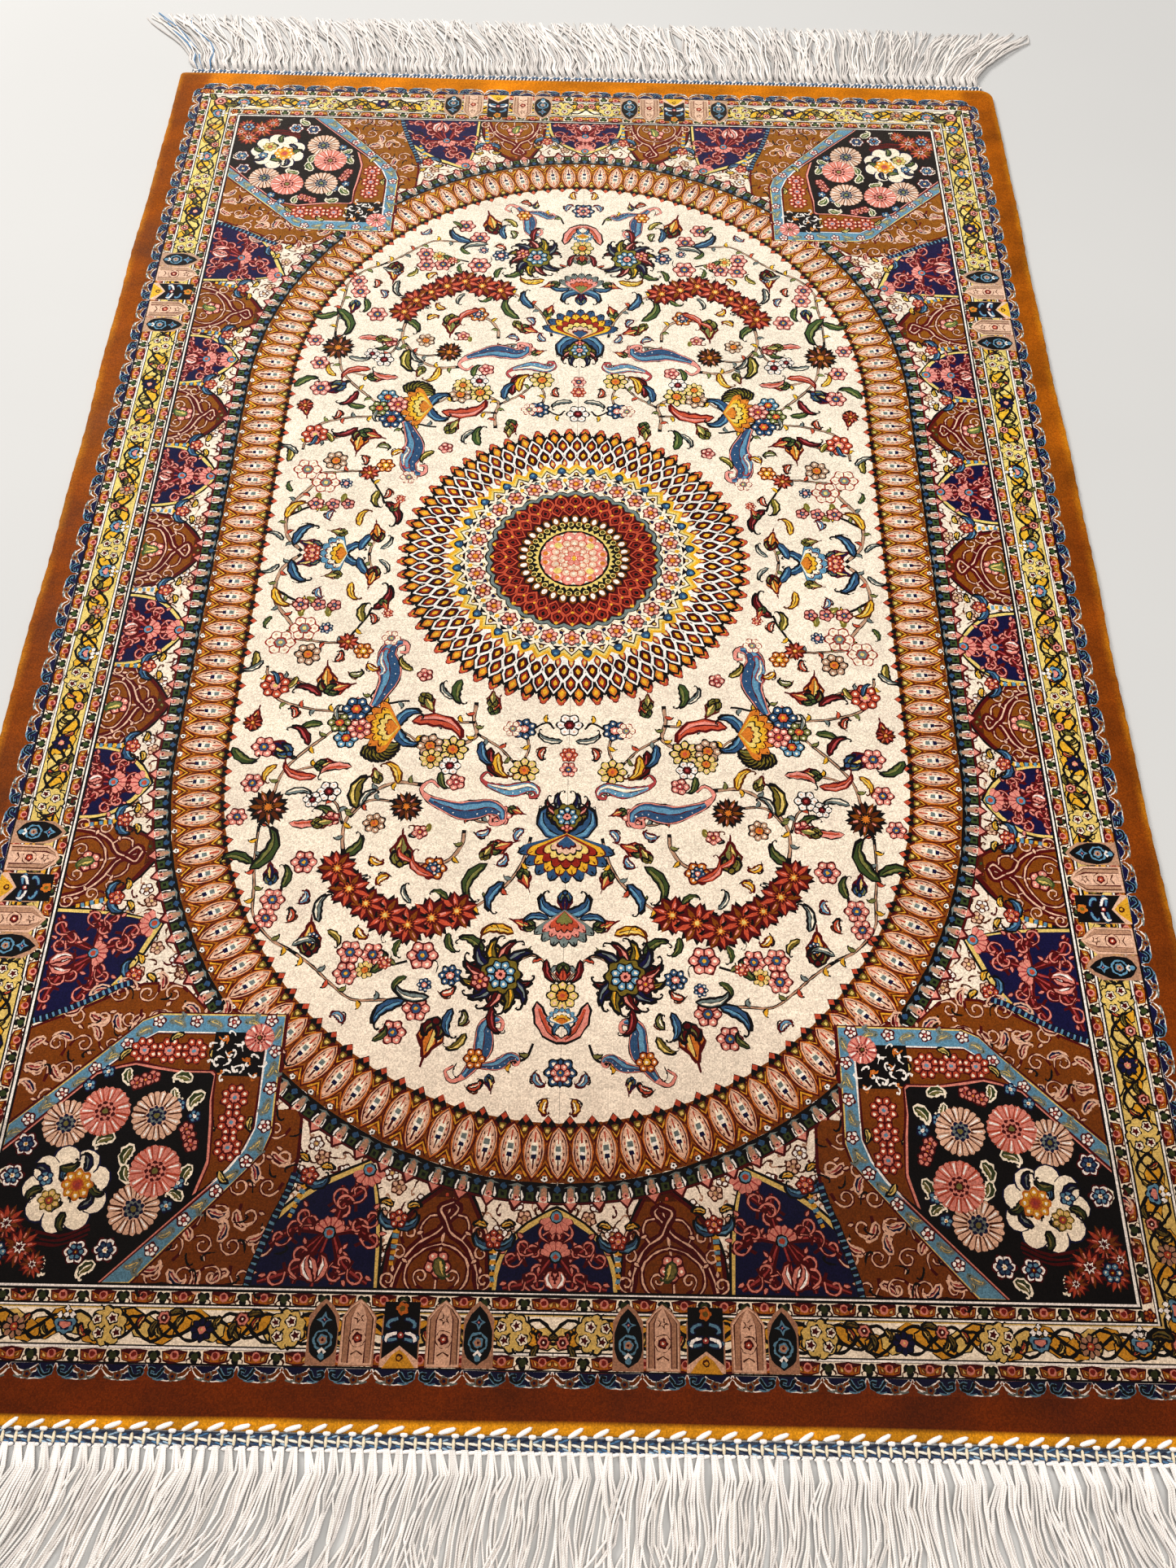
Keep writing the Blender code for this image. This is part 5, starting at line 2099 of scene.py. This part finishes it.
def fringe(
    name, generator, material, out, tufts, strands, thick, sweeps, tuft_sway, strand_sway, lock_swing,
    lean, rise, dimmest,
):
    """A row of tufts of loose strands along one end; out is 1 at the far end and -1 at the near one."""
    root_y = BRAID_INNER + BRAID_WIDTH - ROOT_UNDER_BRAID
    count = tufts * strands
    tuft = np.repeat(np.arange(tufts), strands)
    within = np.tile(np.linspace(-1, 1, strands), tufts)
    half = BRAID_HALF_LENGTH - 0.006
    pitch = 2 * half / (tufts - 1)
    place = 2 * tuft / (tufts - 1) - 1
    table = np.array(sweeps)
    sway = generator.normal(0, tuft_sway, tufts)[tuft]
    sweep = np.interp(place, table[:, 0], table[:, 1]) + sway
    sweep += within * pitch * 0.42 + generator.normal(0, strand_sway, count)
    shorter = 0.07 * generator.random(tufts)[tuft] ** 2
    reach = FRINGE_REACH * (1 - shorter - 0.09 * generator.random(count) ** 1.5)
    share = np.linspace(0, 1, STRAND_STEPS) ** 0.9
    bend = 1.6 * share**2 - 0.6 * share**3
    spread = 0.16 + 0.36 * np.minimum(1, share / 0.35) ** 0.7
    x = place[:, None] * half + within[:, None] * pitch * spread + sweep[:, None] * bend
    # A tuft leans out of the braid before it falls its own way
    leaning = 1 + 0.5 * generator.normal(0, 1, tufts)[tuft, None]
    x = x + lean * np.sin(np.pi * np.clip(share / 0.22, 0, 1)) * leaning
    lock = generator.normal(0, 1, (2, tufts))[:, tuft, None]
    locks = lock[0] * np.sin(1.9 * np.pi * share) + lock[1] * np.sin(3.1 * np.pi * share + 0.6)
    x = x + lock_swing * locks * share
    x = x + strand_noise(generator, count, share)
    x = np.clip(x, -FRINGE_HALF, FRINGE_HALF)
    y = reach[:, None] * share
    layer = generator.random(count)
    z = thick + LAYER_RISE * layer[:, None] * np.sin(np.pi * np.clip(share * 1.1, 0, 1)) ** 0.8
    z += np.where(share < 0.12, (0.12 - share) / 0.12, 0) * ROOT_RISE
    z += rise * np.sin(np.pi * np.clip(share / 0.30, 0, 1))
    paths = np.stack([x, out * (root_y + y), z], -1)
    blunt = np.where(share > 0.97, 0.8, 1.0)
    radius = thick * (0.9 + 0.2 * generator.random(count))[:, None] * blunt
    # Each strand is dimmed at random: tone that differs from strand to strand, and painted shade standing in
    # for the shade between strands
    strand_dimming = dimmest + (1 - dimmest) * generator.random(count) ** 0.5
    colors = np.tile(np.array(YARN_WHITE, float), (count, 1)) * strand_dimming[:, None]
    if out > 0:
        blue = (place < BLUE_TUFTS_BELOW) & (generator.random(count) < 0.35)
        colors[blue] = YARN_BLUE
    return tubes(name, paths, radius, colors, material)


GRAIN_ROUND, GRAIN_RINGS = 6, 3
NEAR_STITCH, FAR_STITCH = 0.0104, 0.0053
BRAID_BLUES = ((34, 60, 96), (70, 112, 150), (24, 32, 56), (150, 176, 196))
BRAID_CREAM, BRAID_STRAW, BRAID_INK = (236, 226, 208), (232, 214, 182), (22, 24, 36)
FAR_BLUES = ((52, 66, 88), (96, 122, 150))
BRAID_CORE = (60, 70, 88)


def grains(name, spots, material):
    """Many small yarn grains in one mesh. Each spot: centre xyz, length, width, height, turn, tone."""
    theta = np.linspace(0, np.pi, GRAIN_RINGS + 2)[1:-1]
    phi = 2 * np.pi * np.arange(GRAIN_ROUND) / GRAIN_ROUND
    body = [(-0.5, 0.0, 0.0)]
    for t in theta:
        for p in phi:
            body.append(
                (
                    -0.5 * math.cos(t), 0.5 * math.sin(t) ** 0.7 * math.cos(p),
                    0.5 * math.sin(t) ** 0.7 * math.sin(p),
                )
            )
    body.append((0.5, 0.0, 0.0))
    body = np.array(body)
    last = len(body) - 1
    faces = []
    for c in range(GRAIN_ROUND):
        beside = (c + 1) % GRAIN_ROUND
        faces.append((0, 1 + beside, 1 + c))
        for ring in range(GRAIN_RINGS - 1):
            a, b = 1 + ring * GRAIN_ROUND, 1 + (ring + 1) * GRAIN_ROUND
            faces.append((a + c, a + beside, b + beside))
            faces.append((a + c, b + beside, b + c))
        tail = 1 + (GRAIN_RINGS - 1) * GRAIN_ROUND
        faces.append((tail + c, tail + beside, last))
    faces = np.array(faces)
    places, all_faces, colors = [], [], []
    for k, (x, y, z, length, width, height, turn, tone) in enumerate(spots):
        scaled = body * (length, width, height)
        c, s = math.cos(math.radians(turn)), math.sin(math.radians(turn))
        places.append(np.stack([
            x + scaled[:, 0] * c - scaled[:, 1] * s, y + scaled[:, 0] * s + scaled[:, 1] * c,
            z + scaled[:, 2],
        ], -1))
        all_faces.append(faces + k * len(body))
        colors.append(np.tile(np.array(tone, float), (faces.size, 1)))
    mesh = new_mesh(name, np.concatenate(places), np.concatenate(all_faces))
    color_corners(mesh, np.concatenate(colors))
    mesh.shade_smooth()
    return new_piece(name, mesh, material)


def near_braid(generator, material):
    """Two twined blue rows, a white one between them, cream bars across, and white stitches over the pile."""
    spots = []
    count = int(2 * BRAID_HALF_LENGTH / NEAR_STITCH)
    between = NEAR_STITCH / 2
    middle_y = -(BRAID_INNER + BRAID_WIDTH / 2)
    for k in range(count):
        x = -BRAID_HALF_LENGTH + (k + 0.5) * 2 * BRAID_HALF_LENGTH / count
        jog = generator.normal(0, 0.0004, 4)
        yarns = []
        for row, lift, turn in ((0.0036, 0.0024, 16), (-0.0030, 0.0022, -18)):
            for shift, drop in ((-0.0017, -0.0006), (0.0020, 0.0007)):
                tone = BRAID_BLUES[int(generator.integers(0, len(BRAID_BLUES)))]
                yarns.append(
                    (between + shift + jog[0], row + drop, lift, 0.0060, 0.0017, 0.0018, turn, tone)
                )
        yarns += [
            (between, 0.0003, 0.0021, 0.0088, 0.0026, 0.0018, -14 + jog[1] * 9000, BRAID_CREAM),
            (between + 0.0004, -0.0012, 0.0019, 0.0084, 0.0012, 0.0016, -10, BRAID_INK),
            (jog[2], 0.0003, 0.0025, 0.0098, 0.0030, 0.0020, 90, BRAID_STRAW),
            (between - 0.0004, -0.0058, 0.0020, 0.0108, 0.0036, 0.0030, 10, YARN_WHITE),
        ]
        if k % 2:
            yarns.append(
                (0.0045, 0.0096, 0.0052, 0.0158, 0.0042, 0.0030, 24 + jog[3] * 12000, YARN_WHITE)
            )
        else:
            yarns.append((0.0008, 0.0064, 0.0038, 0.0070, 0.0044, 0.0030, 0, YARN_WHITE))
        spots += [(x + along, middle_y + across, *rest) for along, across, *rest in yarns]
    return grains("braid_near", spots, material)


def far_braid(material):
    """White stitches over a blue and white row."""
    spots = []
    count = int(2 * BRAID_HALF_LENGTH / FAR_STITCH)
    between = FAR_STITCH / 2
    middle_y = BRAID_INNER + BRAID_WIDTH / 2
    for k in range(count):
        x = -BRAID_HALF_LENGTH + (k + 0.5) * 2 * BRAID_HALF_LENGTH / count
        yarns = (
            (0, -0.0040, 0.0026, 0.0072, 0.0024, 0.0028, 70, YARN_WHITE),
            (between, -0.0028, 0.0018, 0.0056, 0.0022, 0.0020, 64, FAR_BLUES[0]),
            (between, 0.0018, 0.0022, 0.0060, 0.0034, 0.0024, 12, FAR_BLUES[1] if k % 3 else YARN_WHITE),
            (0, 0.0050, 0.0020, 0.0060, 0.0030, 0.0026, 80, YARN_WHITE),
        )
        spots += [(x + along, middle_y + across, *rest) for along, across, *rest in yarns]
    return grains("braid_far", spots, material)


def braid_core(name, out, material):
    """The flat core under the braid's yarns."""
    inner, outer = BRAID_INNER, BRAID_INNER + BRAID_WIDTH
    profile = (
        (inner, 0.0002), (inner, 0.0014), (inner + 0.0012, 0.0020), (outer - 0.0012, 0.0020),
        (outer, 0.0014), (outer, 0.0002),
    )
    steps = 240
    places, faces = [], []
    for k in range(steps + 1):
        x = -BRAID_HALF_LENGTH + 2 * BRAID_HALF_LENGTH * k / steps
        places += [(x, out * y, z) for y, z in profile]
    size = len(profile)
    for k in range(steps):
        for c in range(size):
            d = (c + 1) % size
            quad = (k * size + c, k * size + d, (k + 1) * size + d, (k + 1) * size + c)
            faces.append(quad if out > 0 else quad[::-1])
    mesh = bpy.data.meshes.new(name)
    start, end = list(range(size)), list(range(steps * size, steps * size + size))
    faces += [start[::-1] if out > 0 else start, end if out > 0 else end[::-1]]
    mesh.from_pydata(places, [], faces)
    mesh.update()
    color_corners(mesh, np.tile(BRAID_CORE, (len(mesh.loops), 1)))
    return new_piece(name, mesh, material)


# Materials

class Nodes:
    """Short calls for building a material's nodes."""

    def __init__(self, name):
        self.material = bpy.data.materials.new(name)
        self.material.use_nodes = True
        self.tree = self.material.node_tree
        self.shader = self.tree.nodes["Principled BSDF"]

    def add(self, kind, settings=(), **inputs):
        node = self.tree.nodes.new("ShaderNode" + kind)
        for key, value in dict(settings).items():
            setattr(node, key, value)
        for key, value in inputs.items():
            self.set(node, key.replace("_", " "), value)
        return node

    def set(self, node, key, value):
        socket = next(s for s in node.inputs if s.name == key and s.enabled)
        if isinstance(value, bpy.types.NodeSocket):
            self.tree.links.new(value, socket)
        else:
            socket.default_value = value

    def math(self, operation, a, b=0.0, c=0.0):
        node = self.tree.nodes.new("ShaderNodeMath")
        node.operation = operation
        for socket, value in zip(node.inputs, (a, b, c)):
            if isinstance(value, bpy.types.NodeSocket):
                self.tree.links.new(value, socket)
            else:
                socket.default_value = value
        return node.outputs[0]

    def spread(self, value, low, high, from_low=0.0, from_high=1.0):
        node = self.add("MapRange", Value=value)
        node.inputs["From Min"].default_value = from_low
        node.inputs["From Max"].default_value = from_high
        node.inputs["To Min"].default_value = low
        node.inputs["To Max"].default_value = high
        return node.outputs[0]

    def scaled(self, vector, by):
        node = self.add("VectorMath", {"operation": "MULTIPLY"})
        self.tree.links.new(vector, node.inputs[0])
        node.inputs[1].default_value = by
        return node.outputs[0]

    def tinted(self, color, factor):
        """A colour times a number."""
        node = self.add("VectorMath", {"operation": "SCALE"})
        self.tree.links.new(color, node.inputs[0])
        self.tree.links.new(factor, node.inputs["Scale"])
        return node.outputs[0]


def silk_pile(name, blotch):
    """Short cut silk: small knots of slightly unlike tone with painted shade between them, brushed patches
    and a soft sheen.
    """
    n = Nodes(name)
    tone = n.add("Attribute", {"attribute_name": "tone"}).outputs["Color"]
    place = n.add("TexCoord").outputs["Object"]
    knots = n.add(
        "TexVoronoi", {"feature": "F1"}, Vector=n.scaled(place, (1, 1, 0)), Scale=820.0, Randomness=0.45,
    )
    cell = n.add("SeparateColor", Color=knots.outputs["Color"]).outputs[0]
    patches = n.add(
        "TexNoise", Vector=place, Scale=11.0, Detail=4.0, Roughness=0.55, Distortion=0.6,
    ).outputs[0]
    brushed = n.add(
        "TexNoise", Vector=n.scaled(place, (1.0, 3.2, 1.0)), Scale=60.0, Detail=3.0,
    ).outputs[0]
    fine = n.add("TexNoise", Vector=place, Scale=420.0, Detail=2.0).outputs[0]
    # Each knot is darker towards its edge: painted shade between the knots, over a random tone from knot to
    # knot
    shade = n.math(
        "MULTIPLY", n.spread(cell, 0.70, 1.16), n.spread(knots.outputs["Distance"], 1.12, 0.66, 0.0, 0.9),
    )
    shade = n.math("MULTIPLY", shade, n.spread(patches, 1 - blotch, 1 + 0.8 * blotch, 0.3, 0.7))
    shade = n.math("MULTIPLY", shade, n.spread(brushed, 0.92, 1.06, 0.3, 0.7))
    shade = n.math("MULTIPLY", shade, n.spread(fine, 0.93, 1.07, 0.3, 0.7))
    n.set(n.shader, "Base Color", n.tinted(tone, shade))
    n.set(n.shader, "Roughness", n.spread(patches, 0.52, 0.72, 0.3, 0.7))
    n.shader.inputs["Sheen Weight"].default_value = 0.03
    n.shader.inputs["Sheen Roughness"].default_value = 0.3
    n.shader.inputs["Specular IOR Level"].default_value = 0.04
    height = n.math(
        "ADD", n.math("MULTIPLY", knots.outputs["Distance"], -0.6), n.math("MULTIPLY", brushed, 0.8),
    )
    bump = n.add("Bump", Height=height, Strength=0.35, Distance=0.0006)
    n.set(n.shader, "Normal", bump.outputs[0])
    return n.material


def woven_ground():
    """The back's fine knots in a golden warp."""
    n = Nodes("woven_ground")
    place = n.add("TexCoord").outputs["Object"]
    rows = n.add(
        "TexWave", {"bands_direction": "Y"}, Vector=place, Scale=380.0, Distortion=0.6, Detail=1.0,
    ).outputs[0]
    mottled = n.add("TexNoise", Vector=place, Scale=40.0, Detail=4.0).outputs[0]
    ramp = n.add("ValToRGB", Fac=n.math("MULTIPLY", n.spread(rows, 0.75, 1.0), mottled))
    ramp.color_ramp.elements[0].color = (0.16, 0.07, 0.012, 1)
    ramp.color_ramp.elements[1].color = (0.52, 0.27, 0.06, 1)
    n.set(n.shader, "Base Color", ramp.outputs[0])
    n.shader.inputs["Roughness"].default_value = 0.85
    n.set(n.shader, "Normal", n.add("Bump", Height=rows, Strength=0.4, Distance=0.0005).outputs[0])
    return n.material


PLY_ROUND, PLY_ALONG = 12.566, 3.6  # two plies round a strand, and their lay for each millimetre


def yarn(name, twisted):
    """Off-white cotton: plied, with fine fibres and painted shade in its hollows."""
    n = Nodes(name)
    tone = n.add("Attribute", {"attribute_name": "tone"}).outputs["Color"]
    place = n.add("TexCoord").outputs["Object"]
    fibres = n.add("TexNoise", Vector=place, Scale=900.0, Detail=3.0).outputs[0]
    soft = n.add("TexNoise", Vector=place, Scale=35.0, Detail=2.0).outputs[0]
    if twisted:
        turns = n.add("UVMap", {"uv_map": "twist"}).outputs[0]
        split = n.add("SeparateXYZ", Vector=turns)
        turned = n.math("MULTIPLY", split.outputs[0], PLY_ROUND)
        risen = n.math("MULTIPLY", split.outputs[1], PLY_ALONG)
        ply = n.math("SINE", n.math("ADD", turned, risen))
    else:
        ply = n.add(
            "TexWave", {"bands_direction": "DIAGONAL"}, Vector=place, Scale=260.0, Distortion=1.2,
        ).outputs[0]
    # The plies' hollows are darker: painted shade
    shade = n.math(
        "MULTIPLY", n.spread(ply, 0.88, 1.06, -1.0 if twisted else 0.0, 1.0),
        n.spread(fibres, 0.92, 1.06, 0.3, 0.7),
    )
    shade = n.math("MULTIPLY", shade, n.spread(soft, 0.94, 1.04, 0.3, 0.7))
    n.set(n.shader, "Base Color", n.tinted(tone, shade))
    n.set(n.shader, "Roughness", n.spread(fibres, 0.72, 0.9))
    n.shader.inputs["Sheen Weight"].default_value = 0.08
    n.shader.inputs["Specular IOR Level"].default_value = 0.2
    height = n.math("ADD", ply, n.math("MULTIPLY", fibres, 0.8))
    n.set(n.shader, "Normal", n.add("Bump", Height=height, Strength=0.5, Distance=0.0003).outputs[0])
    return n.material


def pale_floor():
    """A plain light floor."""
    n = Nodes("pale_floor")
    place = n.add("TexCoord").outputs["Object"]
    soft = n.add("TexNoise", Vector=place, Scale=1.5, Detail=3.0).outputs[0]
    ramp = n.add("ValToRGB", Fac=soft)
    ramp.color_ramp.elements[0].color = (0.50, 0.492, 0.478, 1)
    ramp.color_ramp.elements[1].color = (0.555, 0.547, 0.53, 1)
    n.set(n.shader, "Base Color", ramp.outputs[0])
    n.shader.inputs["Roughness"].default_value = 0.8
    return n.material


# Stage, light and camera

CAMERA_AT = (0.01453, -1.00797, 1.23315)
CAMERA_AXES = (
    (0.999776, 0.015759, 0.014162),
    (0.020742, -0.864324, -0.502507),
    (0.004321, 0.502688, -0.864457),
)
LENS, SENSOR = 31.4625, 36.0


def camera():
    """The camera, as worked out from the photo's perspective."""
    data = bpy.data.cameras.new("camera")
    data.lens, data.sensor_width = LENS, SENSOR
    data.clip_start, data.clip_end = 0.01, 100
    view = bpy.data.objects.new("camera", data)
    right, down, forward = (Vector(axis) for axis in CAMERA_AXES)
    turn = Matrix((right, -down, -forward)).transposed()
    view.matrix_world = Matrix.Translation(CAMERA_AT) @ turn.to_4x4()
    bpy.context.scene.collection.objects.link(view)
    bpy.context.scene.camera = view


def lamp(name, at, target, size, power, color=(1, 1, 1)):
    """A rectangular lamp that faces a place."""
    data = bpy.data.lights.new(name, "AREA")
    data.shape = "RECTANGLE"
    data.size, data.size_y = size
    data.energy, data.color = power, color
    light = bpy.data.objects.new(name, data)
    light.location = at
    light.rotation_euler = (Vector(target) - Vector(at)).to_track_quat("-Z", "Y").to_euler()
    bpy.context.scene.collection.objects.link(light)


def stage():
    """Floor, two lamps and the sky."""
    mesh = bpy.data.meshes.new("floor")
    mesh.from_pydata([(-8, -8, 0), (8, -8, 0), (8, 8, 0), (-8, 8, 0)], [], [(0, 1, 2, 3)])
    mesh.materials.append(pale_floor())
    floor = bpy.data.objects.new("floor", mesh)
    floor.location.z = -0.0002
    bpy.context.scene.collection.objects.link(floor)
    lamp("window", (-3.0, 3.6, 3.4), (0, 0.2, 0), (2.4, 1.8), 300, (1.0, 0.98, 0.95))
    lamp("ceiling", (0.5, -1.0, 4.2), (0, -0.2, 0), (3.0, 3.0), 128, (1.0, 0.97, 0.93))
    world = bpy.data.worlds.new("studio")
    world.use_nodes = True
    world.node_tree.nodes["Background"].inputs[0].default_value = (0.95, 0.97, 1.0, 1)
    world.node_tree.nodes["Background"].inputs[1].default_value = 0.38
    bpy.context.scene.world = world
    bpy.context.scene.view_settings.view_transform = "Standard"


def main():
    """Builds the rug, its fringes and braids, and the stage."""
    paint()
    pile, plain = silk_pile("silk_pile", 0.10), silk_pile("silk_margin", 0.34)
    fibre, plied = yarn("fringe_yarn", True), yarn("braid_yarn", False)
    base = ground(woven_ground())
    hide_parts("rug_cloth")
    strips = pile_strips(pile)
    rim = margin(plain)
    generator = np.random.default_rng(11)
    far = fringe("fringe_far_yarn", generator, fibre, **FAR_FRINGE)
    near = fringe("fringe_near_yarn", generator, fibre, **NEAR_FRINGE)
    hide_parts("fringe_far")
    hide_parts("fringe_near")
    trims = [
        near_braid(generator, plied), far_braid(plied),
        braid_core("braid_core_near", -1, plied), braid_core("braid_core_far", 1, plied),
    ]
    stage()
    camera()


main()
